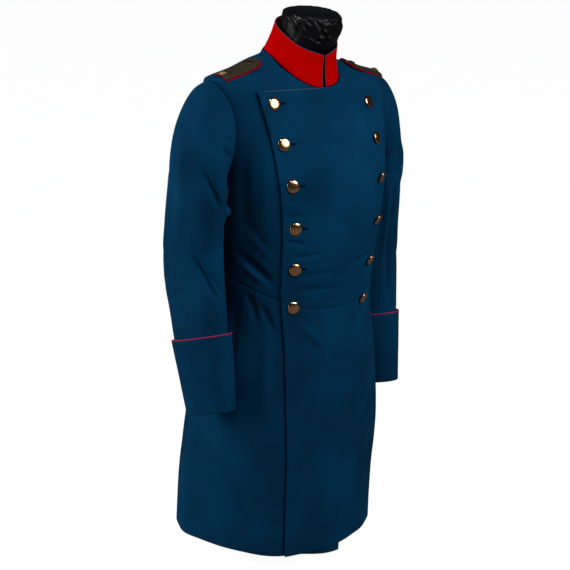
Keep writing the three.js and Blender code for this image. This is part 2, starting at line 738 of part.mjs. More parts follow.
// A point of the collar's outer face. round runs 0..360 from the centre front, up runs 0..1.
function collarPoint(round, up) {
  const sin = Math.sin(radians(round));
  const cos = Math.cos(radians(round));
  const away = 180 - Math.abs(180 - round);
  const drop = cos >= 0 ? NECK_SIDE - LAPEL_TOP : NECK_BACK - NECK_SIDE;
  const reach = (cos >= 0 ? NECK_FRONT : NECK_REAR) - COLLAR_INSET;
  const foot = new THREE.Vector3(
    (NECK_HALF - COLLAR_INSET) * sin,
    NECK_MID - reach * cos,
    NECK_SIDE - drop * cos + COLLAR_LIFT,
  );
  const radius = collarTop.radius(away);
  const top = new THREE.Vector3(radius * sin, COLLAR_TOP_MID - radius * cos, collarTop.z(away));
  const hollow = COLLAR_HOLLOW * Math.sin(Math.PI * up);
  return foot.lerp(top, up).add(new THREE.Vector3(-hollow * sin, hollow * cos, 0));
}

function collarNormal(round, up) {
  const across = collarPoint(round + 1, up).sub(collarPoint(round - 1, up));
  const rise = collarPoint(round, Math.min(1, up + 0.05)).sub(collarPoint(round, Math.max(0, up - 0.05)));
  return across.cross(rise).normalize();
}

const onCollar = (round, up, out) => collarPoint(round, up).addScaledVector(collarNormal(round, up), out);
const collarRound = (c) => mix(COLLAR_END, 360 - COLLAR_END, c / COLLAR_COLUMNS);
const collarRounds = Array.from({ length: COLLAR_COLUMNS + 1 }, (_, c) => collarRound(c));
const collarGrid = (out) => COLLAR_ROWS.map((up) => collarRounds.map((round) => onCollar(round, up, out)));

add("collar", wall(collarGrid(0), collarGrid(-COLLAR_CLOTH)), "red_cloth");

// The piping climbs one front end, goes round the top edge and comes down the other end.
function collarPipingPath() {
  const halfWall = -COLLAR_CLOTH / 2;
  const clear = PIPING_RADIUS + SEAM;
  const lift = new THREE.Vector3(0, 0, clear);
  const beside = (round, inside, up) => {
    const end = onCollar(round, up, halfWall);
    const outward = end.clone().sub(onCollar(inside, up, halfWall)).normalize();
    return end.addScaledVector(outward, clear);
  };
  const climb = [0.03, 0.35, 0.68, 1];
  const first = climb.map((up) => beside(COLLAR_END, COLLAR_END + 1, up));
  const last = climb.map((up) => beside(360 - COLLAR_END, 359 - COLLAR_END, up)).reverse();
  const firstCorner = beside(COLLAR_END, COLLAR_END + 1, 1).add(lift);
  const lastCorner = beside(360 - COLLAR_END, 359 - COLLAR_END, 1).add(lift);
  const over = collarRounds.map((round) => onCollar(round, 1, halfWall).add(lift));
  return [...first, firstCorner, ...over, lastCorner, ...last];
}

add("collar_piping", cord(collarPipingPath(), PIPING_RADIUS, 6, false), "collar_piping");

// ---------------------------------------------------------------- shoulder boards

// The height of the shoulder's top at a distance x from the middle, before the left one drops.
function shoulderHeight(x, y) {
  let low = LAPEL_TOP - 40;
  let high = NECK_SIDE;
  for (let step = 0; step < 40; step += 1) {
    const z = (low + high) / 2;
    const share = Math.abs(x) / body.half(z);
    const ahead = y < body.mid(z);
    const depth = ahead ? body.front(z) : body.back(z);
    const power = body.power(z);
    const reach = share < 1 ? depth * (1 - share ** power) ** (1 / power) : -1;
    if (reach >= Math.abs(y - body.mid(z))) low = z;
    else high = z;
  }
  return low;
}

// A board bends along the shoulder and is crowned across it. across is counted forward.
function boardPoint(side, along, across, out) {
  const x = mix(BOARD.inner, BOARD.outer, along);
  const ridge = (at) => shoulderHeight(at, BOARD.mid) - leftDrop(side * at, LAPEL_TOP);
  const slope = (ridge(x + 2) - ridge(x - 2)) / 4;
  const up = new THREE.Vector3(-slope, 0, 1).normalize();
  const tilt = radians(BOARD.tilt);
  const crown = BOARD.crown * across ** 2;
  const point = new THREE.Vector3(x, BOARD.mid, ridge(x)).addScaledVector(up, out + BOARD.off - crown);
  point.y -= across * Math.cos(tilt);
  point.z -= across * Math.sin(tilt);
  point.x *= side;
  return point;
}

// Half width of a board: it is rounded at its neck end, and margin draws its edge in.
function boardHalf(along, margin) {
  const length = BOARD.outer - BOARD.inner;
  const half = BOARD.width / 2 - margin;
  const from = along * length - margin;
  return from >= half ? half : Math.sqrt(Math.max(0, half ** 2 - (half - from) ** 2));
}

const BOARD_ALONG = [0.012, 0.04, 0.09, 0.16, 0.25, 0.4, 0.55, 0.7, 0.85, 1];

function boardPlate(side, margin, low, high) {
  const length = BOARD.outer - BOARD.inner;
  const grid = (out) =>
    BOARD_ALONG.map((t) => {
      const along = mix(margin / length, 1 - margin / (2 * length), t);
      const half = boardHalf(along, margin);
      return [-1, -0.4, 0.4, 1].map((share) => boardPoint(side, along, share * half, out));
    });
  return wall(grid(high), grid(low));
}

// A domed button: profile from its back's middle to its crown, as height and radius.
function domed(radius, segments) {
  const profile = [
    [0, 0],
    [radius * 0.9, 0],
    [radius, radius * 0.1],
    [radius * 0.93, radius * 0.22],
    [radius * 0.66, radius * 0.36],
    [radius * 0.33, radius * 0.43],
    [0, radius * 0.45],
  ];
  const lathe = new THREE.LatheGeometry(profile.map(([r, h]) => new THREE.Vector2(r, h)), segments);
  return lathe.rotateX(Math.PI / 2);
}

// Turns a mesh so that its own +Z looks along a direction, and sets it at a point.
function settle(mesh, point, direction) {
  mesh.position.copy(point);
  mesh.quaternion.setFromUnitVectors(new THREE.Vector3(0, 0, 1), direction);
}

for (const [name, side] of [["right", -1], ["left", 1]]) {
  const underTop = BOARD.underlay;
  const braidLow = underTop + SEAM;
  const braidTop = braidLow + BOARD.braid;
  add("board_underlay_" + name, boardPlate(side, 0, 0, underTop), "red_cloth");
  add("board_" + name, boardPlate(side, BOARD.margin, braidLow, braidTop), "braid");
  const ahead = boardPoint(side, 0.25, 1, 0).sub(boardPoint(side, 0.25, 0, 0));
  const sideways = boardPoint(side, 0.3, 0, 0).sub(boardPoint(side, 0.2, 0, 0));
  const up = ahead.clone().cross(sideways).normalize();
  if (up.z < 0) up.negate();
  const button = add("board_button_" + name, domed(BOARD_BUTTON_RADIUS, 14), "copper");
  settle(button, boardPoint(side, BOARD.buttonAlong, 0, braidTop + SEAM), up);
  const outerAlong = boardPoint(side, 0.95, 0, 0).sub(boardPoint(side, 0.85, 0, 0));
  const outerUp = ahead.clone().cross(outerAlong).normalize();
  if (outerUp.z < 0) outerUp.negate();
  const pip = add("board_pip_" + name, new THREE.BoxGeometry(PIP.side, PIP.side, PIP.height), "gilt");
  settle(pip, boardPoint(side, BOARD.pipAlong, 0, braidTop + SEAM + 0.3 + PIP.height / 2), outerUp);
}

// ---------------------------------------------------------------- front buttons

BUTTONS.forEach((row, i) => {
  for (const side of ["right", "left"]) {
    const deg = bearingOf(row[side], row.z);
    const off = Math.max(lapAt(deg, row.z), 0) + BUTTON_OFF;
    const mesh = add("button_" + side + "_" + (i + 1), domed(BUTTON_RADIUS, 16), "copper");
    settle(mesh, onBody(deg, row.z, off), bodyNormal(deg, row.z));
  }
});

// ---------------------------------------------------------------- dress form and stand

const FORM_COLUMNS = 24;

function formRing(row) {
  return Array.from({ length: FORM_COLUMNS }, (_, c) => {
    const turn = (2 * Math.PI * c) / FORM_COLUMNS;
    const forward = (Math.cos(turn) >= 0 ? row.front : row.back) * Math.cos(turn);
    const height = row.z + forward * Math.sin(radians(row.lift));
    return new THREE.Vector3(row.half * Math.sin(turn), row.mid - forward, height);
  });
}

add("form_torso", stack(FORM.map(formRing)), "form_cloth");

// The post and the base stand on one axis; the torso's foot is a flat face above the post.
const postTop = FORM[0].z - SEAM;
const postHeight = postTop - BASE_HEIGHT - SEAM;
const post = new THREE.CylinderGeometry(POST_RADIUS, POST_RADIUS, postHeight, 20).rotateX(Math.PI / 2);
const postMesh = add("stand_post", post, "stand_metal");
postMesh.position.set(0, 0, BASE_HEIGHT + SEAM + postHeight / 2);
const baseShape = new THREE.CylinderGeometry(BASE_RADIUS - BASE_TAPER, BASE_RADIUS, BASE_HEIGHT, 36);
const base = baseShape.rotateX(Math.PI / 2);
add("stand_base", base, "stand_metal").position.set(0, 0, BASE_HEIGHT / 2);

export default coat;
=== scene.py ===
"""Looks of a double-breasted officer's frock coat on its dress form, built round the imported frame.

Sizes are in millimetres and become metres where a mesh is made. The coat faces -Y and its wearer's
right is -X. A place on its body is a bearing (degrees from the centre front, wearer's left positive)
and a height. A place on a sleeve is a turn (0 forward, 90 outward) and a height.
"""
import math

import bpy
import numpy as np
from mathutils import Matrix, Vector


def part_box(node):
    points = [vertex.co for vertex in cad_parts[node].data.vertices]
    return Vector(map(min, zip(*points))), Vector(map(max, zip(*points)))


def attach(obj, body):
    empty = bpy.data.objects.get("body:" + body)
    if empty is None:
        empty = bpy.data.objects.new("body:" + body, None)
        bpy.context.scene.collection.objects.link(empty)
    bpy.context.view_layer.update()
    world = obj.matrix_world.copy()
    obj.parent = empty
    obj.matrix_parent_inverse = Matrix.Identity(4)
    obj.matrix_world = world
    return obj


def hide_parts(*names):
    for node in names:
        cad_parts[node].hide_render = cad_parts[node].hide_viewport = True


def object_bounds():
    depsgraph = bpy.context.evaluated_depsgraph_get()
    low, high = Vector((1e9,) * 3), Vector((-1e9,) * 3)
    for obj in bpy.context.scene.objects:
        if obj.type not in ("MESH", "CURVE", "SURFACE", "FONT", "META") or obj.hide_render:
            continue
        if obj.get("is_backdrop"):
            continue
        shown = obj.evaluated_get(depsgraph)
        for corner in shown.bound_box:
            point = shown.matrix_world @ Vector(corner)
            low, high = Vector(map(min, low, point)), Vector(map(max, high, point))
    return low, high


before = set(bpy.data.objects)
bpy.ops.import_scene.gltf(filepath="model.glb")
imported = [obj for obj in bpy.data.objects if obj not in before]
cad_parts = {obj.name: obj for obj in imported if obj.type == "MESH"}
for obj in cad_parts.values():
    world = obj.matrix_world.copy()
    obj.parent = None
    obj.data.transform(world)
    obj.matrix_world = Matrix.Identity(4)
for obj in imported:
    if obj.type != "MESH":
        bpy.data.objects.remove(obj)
cad_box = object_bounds()

MM = 0.001

# ---------------------------------------------------------------- driving sizes, as the frame has them

CLOTH = 2.0
COLLAR_CLOTH = 3.0
SEAM = -0.1  # sewn pieces overlap by this much, so no light shows through; rounded edges draw the seam
LAP = 3.6
LAP_FADE = 14
WAIST = 520
WAIST_RISE = 58
PIT = 767
TIP = 962
LAPEL_TOP = 943
NECK_SIDE = 1004
NECK_BACK = 1020
SIDE_BODY_TOP = 847
HEM = 24
NECK_HALF = 71
LEFT_DROP = 14
ARM_FRONT = 16
ARM_BACK = 14
UNDER_DROP = 17
BUTTON_RADIUS = 12.5
BOARD_BUTTON_RADIUS = 7
PIPING_RADIUS = 1.3
FORE_SEAM = -30
HIND_SEAM = 200

# height, half width, middle, depth in front, depth behind, power of the oval
BODY = np.array([
    (-20, 193, 24, 195, 195, 2.15),
    (20, 192, 21, 193, 193, 2.15),
    (140, 192, 11, 188, 187, 2.2),
    (290, 187, -10, 173, 171, 2.35),
    (410, 179, -27, 156, 151, 2.35),
    (520, 165, -40, 138, 122, 2.3),
    (590, 162, -42, 147, 108, 2.35),
    (674, 170, -47, 152, 112, 2.45),
    (755, 178, -55, 148, 125, 2.5),
    (850, 193, -59, 125, 132, 2.45),
    (920, 203, -62, 94, 122, 2.3),
    (943, 206, -62, 86, 118, 2.2),
    (962, 206, -63, 69, 108, 2.1),
    (980, 150, -67, 42, 98, 2.0),
    (994, 108, -69, 22, 92, 2.0),
    (1004, 72, -71, 8, 84, 2.0),
    (1012, 68, -68, 4, 74, 2.0),
    (1024, 60, -66, 3, 60, 2.0),
])
# height, distance of the front edge from the centre
OVER_EDGE = np.array([
    (0, -98), (184, -101), (346, -107), (520, -109), (625, -114), (704, -121), (811, -132),
    (887, -140), (943, -146),
])
UNDER_EDGE = np.array([(0, 18), (60, 22), (350, 70), (520, 98), (704, 108), (943, 128)])
# height, bearing
BACK_SEAM = np.array([(0, 158), (520, 158), (600, 156), (700, 149), (780, 135), (850, 105)])
# bearing, rise
HEM_RISE = np.array([
    (-180, 16), (-90, 16), (-56, 8), (-30, 1), (-16, 3), (8, 15), (40, 22), (90, 20), (180, 16),
])
# height, distance from the centre plane, middle, half width, half depth, lift of the front in degrees
ARMS = {
    -1: np.array([
        (329, 227, -87, 38, 50, 10),
        (399, 227, -72, 42, 57, 12),
        (469, 227, -55, 46, 64, 13),
        (530, 227, -43, 48, 67, 11),
        (590, 227, -32, 49, 71, 6),
        (640, 228, -31, 49, 73, 2),
        (690, 230, -40, 49, 73, 0),
        (742, 233, -52, 49, 73, 0),
    ]),
    1: np.array([
        (307, 239, -24, 38, 53, 8),
        (379, 236, -20, 42, 58, 8),
        (451, 231, -17, 46, 63, 8),
        (524, 228, -17, 48, 67, 7),
        (584, 226, -17, 49, 70, 3),
        (634, 224, -20, 47, 72, 0),
        (684, 223, -28, 44, 71, 0),
        (735, 223, -33, 42, 69, 0),
    ]),
}
HEAD = {-1: {"out": 225, "fall": -0.05}, 1: {"out": 150, "fall": 0.2}}
HEAD_DOWN = 200
# height, right column, left column
BUTTONS = (
    (919, -119, 107),
    (845, -115, 104),
    (767, -106, 104),
    (685, -98, 96),
    (605, -92, 86),
    (528, -88, 78),
)
# bearing round the neckline, radius of the top edge, its height
COLLAR_TOP = np.array([(0, 57, 1003), (45, 60, 1019), (90, 61, 1048), (135, 61, 1069), (180, 61, 1077)])
COLLAR_TOP_MID = -93
COLLAR_END = 2.9
COLLAR_INSET = 1.2
COLLAR_LIFT = 0.5
COLLAR_HOLLOW = 2.5
COLLAR_RISE = 55
COLLAR_PIPING_RADIUS = 0.9
BOARD = {
    "inner": 101, "outer": 192, "mid": -76, "width": 42, "tilt": 13, "crown": 0.008, "off": 1.6,
    "underlay": 2, "braid": 2.6, "margin": 2.2, "button": 0.27, "pip": 0.93,
}
# height, half width, middle, depth in front, depth behind, lift
FORM = np.array([
    (470, 60, -34, 60, 50, 0),
    (474, 132, -34, 108, 92, 0),
    (520, 146, -38, 118, 100, 0),
    (590, 144, -40, 124, 90, 0),
    (674, 152, -45, 130, 94, 0),
    (755, 160, -52, 126, 106, 0),
    (850, 168, -56, 103, 112, 0),
    (905, 166, -60, 74, 104, 0),
    (932, 148, -62, 58, 92, 0),
    (950, 116, -64, 50, 82, 0),
    (968, 80, -68, 46, 70, 0),
    (988, 58, -77, 49, 62, 0),
    (1008, 54, -88, 51, 58, -2),
    (1036, 54, -98, 61, 56, -5),
    (1064, 56, -105, 65, 58, -7),
    (1078, 56, -107, 64, 56, -8),
    (1087, 50, -107, 57, 48, -8),
    (1091, 36, -106, 44, 32, -8),
])

# ---------------------------------------------------------------- folds, placed one by one

# Each fold: where it starts, where it ends, its half width, its depth (troughs are negative) and how
# far its middle bows to one side. On the body a place is a bearing and a height.
BODY_FOLDS = (
    # the wearer's right front, drawn in to the waist
    (-78, 640, -47, 566, 11, -5.2, 3),
    (-74, 612, -52, 570, 9, 2.4, 2),
    (-68, 860, -68, 650, 17, -2.4, -6),
    (-58, 860, -57, 660, 15, 1.2, 4),
    (-71, 700, -52, 640, 9, -1.1, 3),
    (-66, 668, -46, 610, 8, 0.9, 2),
    # the skirt under it
    (-69, 560, -60, 488, 8, -4.5, 4),
    (-60, 540, -47, 468, 8, -3.8, 3),
    (-52, 500, -47, 300, 16, 3.0, -3),
    (-78, 540, -76, 380, 14, -3.0, 2),
    # short pulls at the buttons
    (-44, 741, -33, 736, 3.5, -1.6, 0),
    (-44, 712, -30, 706, 3.5, -2.0, 0),
    (-42, 684, -28, 686, 4, -1.4, 1),
    (-44, 660, -27, 650, 4.5, -3.0, 3),
    (-41, 630, -12, 636, 6, -2.2, -4),
    (-39, 586, 0, 592, 6, -1.6, 3),
    (-38, 562, 2, 556, 8, -1.8, 3),
    (36, 700, 24, 696, 4, -1.2, 1),
    (36, 640, 20, 646, 5, -1.5, 2),
    # the chest and the over front
    (-6, 935, -17, 800, 14, -1.8, 4),
    (-37, 900, -6, 914, 7, -1.0, 3),
    (10, 820, 2, 640, 16, -1.4, 6),
    (38, 622, 12, 606, 8, -2.2, 3),
    (34, 520, 20, 470, 6, -4.5, 2),
    (46, 560, 34, 500, 8, -3.4, -2),
    (-34, 500, -2, 408, 11, 2.6, 4),
    (-30, 470, 4, 400, 12, -1.8, 5),
    (24, 480, 30, 250, 17, 2.2, 5),
    # the wearer's left side
    (82, 636, 56, 566, 10, -6.0, 4),
    (70, 860, 70, 650, 14, -3.5, 5),
    (72, 556, 62, 450, 9, -4.0, 3),
    (84, 520, 84, 330, 14, -2.6, 2),
    # the sides and the back
    (-108, 640, -90, 560, 9, -4.0, 3),
    (104, 640, 92, 566, 9, -4.4, 3),
    (-118, 520, -116, 200, 17, -4.4, 6),
    (-136, 530, -140, 160, 16, 3.6, 5),
    (-160, 512, -163, 240, 13, -3.6, 4),
    (116, 522, 119, 220, 16, -4.0, -5),
    (138, 528, 141, 180, 17, 3.8, -6),
    (163, 512, 160, 270, 13, -3.2, 3),
    (-172, 560, -140, 596, 8, -2.6, 3),
    (170, 552, 138, 588, 8, -3.0, 3),
    (-168, 600, -128, 640, 9, -2.2, 4),
    (166, 610, 132, 634, 8, -2.0, -3),
    (-150, 900, -146, 690, 15, -2.6, 5),
    (148, 890, 150, 700, 14, -3.0, -4),
    (-112, 900, -124, 760, 11, -3.2, 4),
    (112, 880, 125, 770, 11, -3.0, -4),
    # the shoulder beside the collar
    (-84, 987, -58, 982, 8, -1.8, 0),
)
# On a sleeve a place is a turn and a height.
SLEEVE_FOLDS = {
    -1: (
        (46, 815, -16, 716, 9, -5.5, 4),
        (50, 650, -18, 530, 9, -5.0, 5),
        (20, 610, -34, 548, 8, -2.6, 3),
        (66, 700, 20, 610, 12, 2.0, 4),
        (-78, 784, -20, 776, 15, -11.0, 3),
        (-78, 722, -24, 712, 14, 6.5, 0),
        (12, 848, -40, 812, 7, -4.5, 3),
        (14, 868, -20, 842, 5, -2.6, 2),
        (-4, 905, -30, 893, 4, -2.0, 1),
        (-62, 690, -30, 684, 6, -2.2, 0),
        (-60, 640, -30, 600, 9, -3.0, 2),
        (84, 880, 70, 640, 15, 2.0, 5),
        (104, 820, 98, 520, 12, -2.0, 4),
        (150, 700, 120, 610, 9, -3.6, 4),
        (170, 640, 132, 560, 8, -3.2, 3),
        (188, 600, 150, 520, 8, -2.6, -3),
        (230, 740, 268, 700, 8, -4.0, 2),
        (240, 690, 280, 660, 8, -3.2, 2),
        (150, 860, 128, 780, 8, -2.6, 3),
        (36, 520, -10, 455, 8, -2.4, 3),
    ),
    1: (
        (18, 815, 0, 737, 8, -5.0, 2),
        (0, 745, -8, 640, 8, -4.6, 2),
        (-8, 660, -6, 480, 8, -4.0, -2),
        (-18, 740, -22, 560, 7, 2.6, 2),
        (24, 650, 22, 480, 7, -2.4, 2),
        (32, 830, 14, 720, 9, 2.4, 3),
        (-62, 800, -24, 792, 12, -5.5, 3),
        (60, 820, 16, 700, 10, -3.6, 4),
        (66, 640, 14, 540, 10, -3.4, 4),
        (-50, 700, -30, 650, 8, -2.4, 2),
        (96, 860, 92, 560, 14, 2.2, 4),
        (146, 690, 118, 600, 9, -3.4, 4),
        (168, 640, 136, 556, 8, -3.0, 3),
        (232, 736, 266, 700, 8, -3.6, 2),
        (150, 850, 126, 770, 8, -2.4, 3),
        (40, 500, -6, 440, 8, -2.0, 3),
    ),
}
# On the neck a place is a bearing and a height.
NECK_FOLDS = (
    (-100, 1086, -62, 1050, 3.2, 2.6, 3),
    (-84, 1088, -48, 1052, 3.0, -2.2, 2),
    (-68, 1089, -34, 1062, 3.4, 2.2, -2),
    (-40, 1086, -8, 1030, 4.0, -2.4, 4),
    (-26, 1066, 8, 1034, 3.0, 2.6, 3),
    (-30, 1048, 6, 1052, 4.2, 2.8, -4),
    (-34, 1038, -2, 1026, 3.0, -2.4, 3),
    (-12, 1084, 14, 1046, 3.4, 2.2, 2),
    (6, 1088, 30, 1040, 3.6, -2.4, -3),
    (28, 1086, 34, 1036, 3.4, 2.0, 2),
    (-58, 1046, -24, 1030, 3.2, 2.0, 3),
    (48, 1080, 60, 1040, 4.0, -2.0, 2),
    (70, 1086, 84, 1050, 4.0, 1.8, 2),
    (104, 1088, 120, 1056, 4.0, -1.8, 2),
    (-120, 1088, -132, 1060, 4.0, -1.8, 2),
    (-150, 1086, -158, 1066, 4.0, 1.6, 2),
    (150, 1086, 158, 1066, 4.0, 1.6, 2),
    (-20, 1076, 20, 1074, 4.0, -1.6, 2),
)


FOLD_DEPTH, FOLD_WIDTH = 1.5, 0.85  # how much deeper and narrower every fold is than its row says


def folded(folds, across, up, per_degree):
    """How far a set of folds moves the cloth at places given by across, in degrees, and up."""
    total = np.zeros(np.broadcast(across, up).shape)
    for a0, z0, a1, z1, half, depth, bow in folds:
        run, rise = (a1 - a0) * per_degree, z1 - z0
        length = math.hypot(run, rise)
        x, y = (across - a0) * per_degree, up - z0
        along = (x * run + y * rise) / length**2
        side = (x * rise - y * run) / length + bow * 4 * along * (1 - along)
        fade = smooth(along / 0.35) * smooth((1 - along) / 0.35)
        q = side / (half * FOLD_WIDTH)
        total += FOLD_DEPTH * depth * fade * np.exp(-q * q) * (1 - 0.5 * q * q)
    return total


# ---------------------------------------------------------------- numbers and curves


def clamp01(t):
    return np.clip(t, 0, 1)


def smooth(t):
    t = clamp01(t)
    return t * t * (3 - 2 * t)


def mix(a, b, t):
    return a + (b - a) * t


def through(table, column=1):
    """A smooth curve through a table's rows, by its first column, that never overshoots them."""
    x, y = table[:, 0].astype(float), table[:, column].astype(float)
    width = np.diff(x)
    slope = np.diff(y) / width
    tangent = np.zeros_like(y)
    tangent[0], tangent[-1] = slope[0], slope[-1]
    for i in range(1, len(x) - 1):
        if slope[i - 1] * slope[i] > 0:
            w1, w2 = 2 * width[i] + width[i - 1], width[i] + 2 * width[i - 1]
            tangent[i] = (w1 + w2) / (w1 / slope[i - 1] + w2 / slope[i])

    def curve(wanted):
        v = np.clip(wanted, x[0], x[-1])
        i = np.clip(np.searchsorted(x, v, side="left") - 1, 0, len(x) - 2)
        t = (v - x[i]) / width[i]
        t2, t3 = t * t, t * t * t
        level = (2 * t3 - 3 * t2 + 1) * y[i] + (3 * t2 - 2 * t3) * y[i + 1]
        return level + width[i] * ((t3 - 2 * t2 + t) * tangent[i] + (t3 - t2) * tangent[i + 1])

    return curve


body_half, body_mid, body_front, body_back, body_power = (through(BODY, k) for k in range(1, 6))
over_edge_x, under_edge_x = through(OVER_EDGE), through(UNDER_EDGE)
back_seam_deg, hem_rise = through(BACK_SEAM), through(HEM_RISE)
collar_radius, collar_height = through(COLLAR_TOP, 1), through(COLLAR_TOP, 2)


def unit(v):
    return v / np.maximum(np.linalg.norm(v, axis=-1, keepdims=True), 1e-12)


def sin_cos(degrees):
    return np.sin(np.radians(degrees)), np.cos(np.radians(degrees))


def grid_of(rows, columns):
    """The row value and the column value at every place of a grid."""
    return np.meshgrid(rows, columns, indexing="ij")


def mirrored(curve):
    return lambda z: -curve(z)


# ---------------------------------------------------------------- the coat's outer face


def left_drop(x, z):
    return LEFT_DROP * smooth(x / 150) * smooth((z - 780) / 150)


def body_point(deg, z):
    sin, cos = sin_cos(deg)
    power = body_power(z)
    depth = np.where(cos >= 0, body_front(z), body_back(z))
    reach = (np.abs(sin / body_half(z)) ** power + np.abs(cos / depth) ** power) ** (-1 / power)
    x = reach * sin
    return np.stack([x, body_mid(z) - reach * cos, z - left_drop(x, z)], -1)


def body_normal(deg, z):
    across = body_point(deg + 0.2, z) - body_point(deg - 0.2, z)
    up = body_point(deg, z + 0.5) - body_point(deg, z - 0.5)
    return unit(np.cross(across, up))


def on_body(deg, z, out):
    return body_point(deg, z) + body_normal(deg, z) * np.asarray(out)[..., None]


def bearing_of(x, z, behind=False):
    depth = body_back(z) if behind else body_front(z)
    share = np.minimum(1, np.abs(x) / body_half(z))
    reach = depth * (1 - share ** body_power(z)) ** (1 / body_power(z))
    deg = np.degrees(np.arctan2(np.abs(x), reach))
    return np.sign(x) * (180 - deg if behind else deg)


def bent_height(deg, level, under):
    away = np.abs(deg)
    to_side = np.where(away < 90, np.abs(np.sin(np.radians(away))) ** 3, 1)
    over_waist = 1 - smooth((level - WAIST) / (PIT - WAIST))
    near_waist = np.where(level > WAIST, over_waist, smooth(level / WAIST))
    near_hem = 1 - smooth((level - HEM) / (WAIST - HEM))
    rise = hem_rise(deg)
    if under:
        rise = np.minimum(rise, 14) - UNDER_DROP * smooth((deg + 26) / 34)
    return level + WAIST_RISE * to_side * near_waist + rise * near_hem


def arm_share(z):
    return np.maximum(0, np.sin(np.pi * clamp01((z - PIT) / (TIP - PIT)))) ** 0.55


def arm_front_deg(z):
    return 90 - ARM_FRONT * arm_share(z)


def arm_back_deg(z):
    return 90 + ARM_BACK * arm_share(z)


def side_seam_deg(z):
    return 90 + 9 * smooth((PIT - z) / (PIT - WAIST))


def neck_x(share):
    return NECK_HALF * np.sqrt(np.maximum(0, 1 - share**2))


def front_neck_x(z):
    return neck_x((NECK_SIDE - z) / (NECK_SIDE - LAPEL_TOP))


def back_neck_x(z):
    return neck_x((z - NECK_SIDE) / (NECK_BACK - NECK_SIDE))


def over_edge(z):
    return bearing_of(over_edge_x(z), z)


def under_edge(z):
    return bearing_of(under_edge_x(z), z)


def lap_at(deg, z):
    beside = 1 - smooth((deg - under_edge(z) - 2) / LAP_FADE)
    below = 1 - smooth((z - LAPEL_TOP - 1) / 12)
    return LAP * beside * below


PER_DEGREE = 2.9  # millimetres of cloth round the body to a degree


def body_relief(deg, z):
    """Folds and the slight unevenness of worn cloth, the same for every panel so that seams meet."""
    wrapped = deg - 360 * np.sign(deg)
    folds = folded(BODY_FOLDS, deg, z, PER_DEGREE) + folded(BODY_FOLDS, wrapped, z, PER_DEGREE)
    turn = np.radians(deg)
    sway = 0.7 * np.sin(3 * turn + z / 61) + 0.6 * np.sin(5 * turn - z / 83 + 1.3)
    sway += 0.45 * np.sin(9 * turn + z / 47 + 0.6) + 0.35 * np.sin(14 * turn - z / 36 + 2.1)
    skirt = smooth((WAIST - z) / 320)
    drape = skirt * (1.8 * np.sin(7 * turn + 0.8) + 1.3 * np.sin(11 * turn + 2.4 + z / 260))
    drape = drape + 4 * np.exp(-(((deg - 88) / 30) ** 2)) * smooth((190 - z) / 80)
    in_front = np.abs(deg) < BACK_SEAM[0, 1]
    drape = drape - 0.9 * in_front * np.exp(-(((z - bent_height(deg, WAIST, False)) / 3.2) ** 2))
    calm = 1 - 0.85 * smooth((z - 925) / 30)
    return (folds + sway * calm + drape) * np.where(z > 975, 0.4, 1) * (1 - smooth((z - 985) / 12))


def edge_lift(deg, z):
    """The over front's free edge stands a little off the cloth under it, most at the lapel's corner."""
    away = (deg - over_edge(z)) * PER_DEGREE
    size = 2.2 + 3.2 * smooth((z - 820) / 110) + 0.8 * smooth((200 - z) / 200)
    return size * np.exp(-((away / 13) ** 2))


# ---------------------------------------------------------------- meshes

EDGE_STEPS = np.array([0, 0.15, 0.5, 1.0])  # how far from a cut edge its rounding has points


def stop_list(low, high, stretches):
    """Levels from low to high: rounded at both ends, then as far apart as each stretch says."""
    inner = [low + SEAM / 2 + 1.0]
    for top, gap in stretches:
        count = max(1, round((top - inner[-1]) / gap))
        inner += list(np.linspace(inner[-1], top, count + 1)[1:])
    ends = (low + SEAM / 2 + EDGE_STEPS[:-1], (high - SEAM / 2 - EDGE_STEPS)[::-1])
    return np.concatenate([ends[0], inner[:-1], ends[1]])


def neighbour(values, axis, step, ring):
    """Each place's neighbour, that many steps along an axis, and whether there is one."""
    moved = np.roll(values, -step, axis)
    there = np.ones(values.shape[:2], bool)
    if not (ring and axis == 1):
        cut = [slice(None), slice(None)]
        cut[axis] = slice(-step, None) if step > 0 else slice(None, -step)
        there[tuple(cut)] = False
    return moved, there


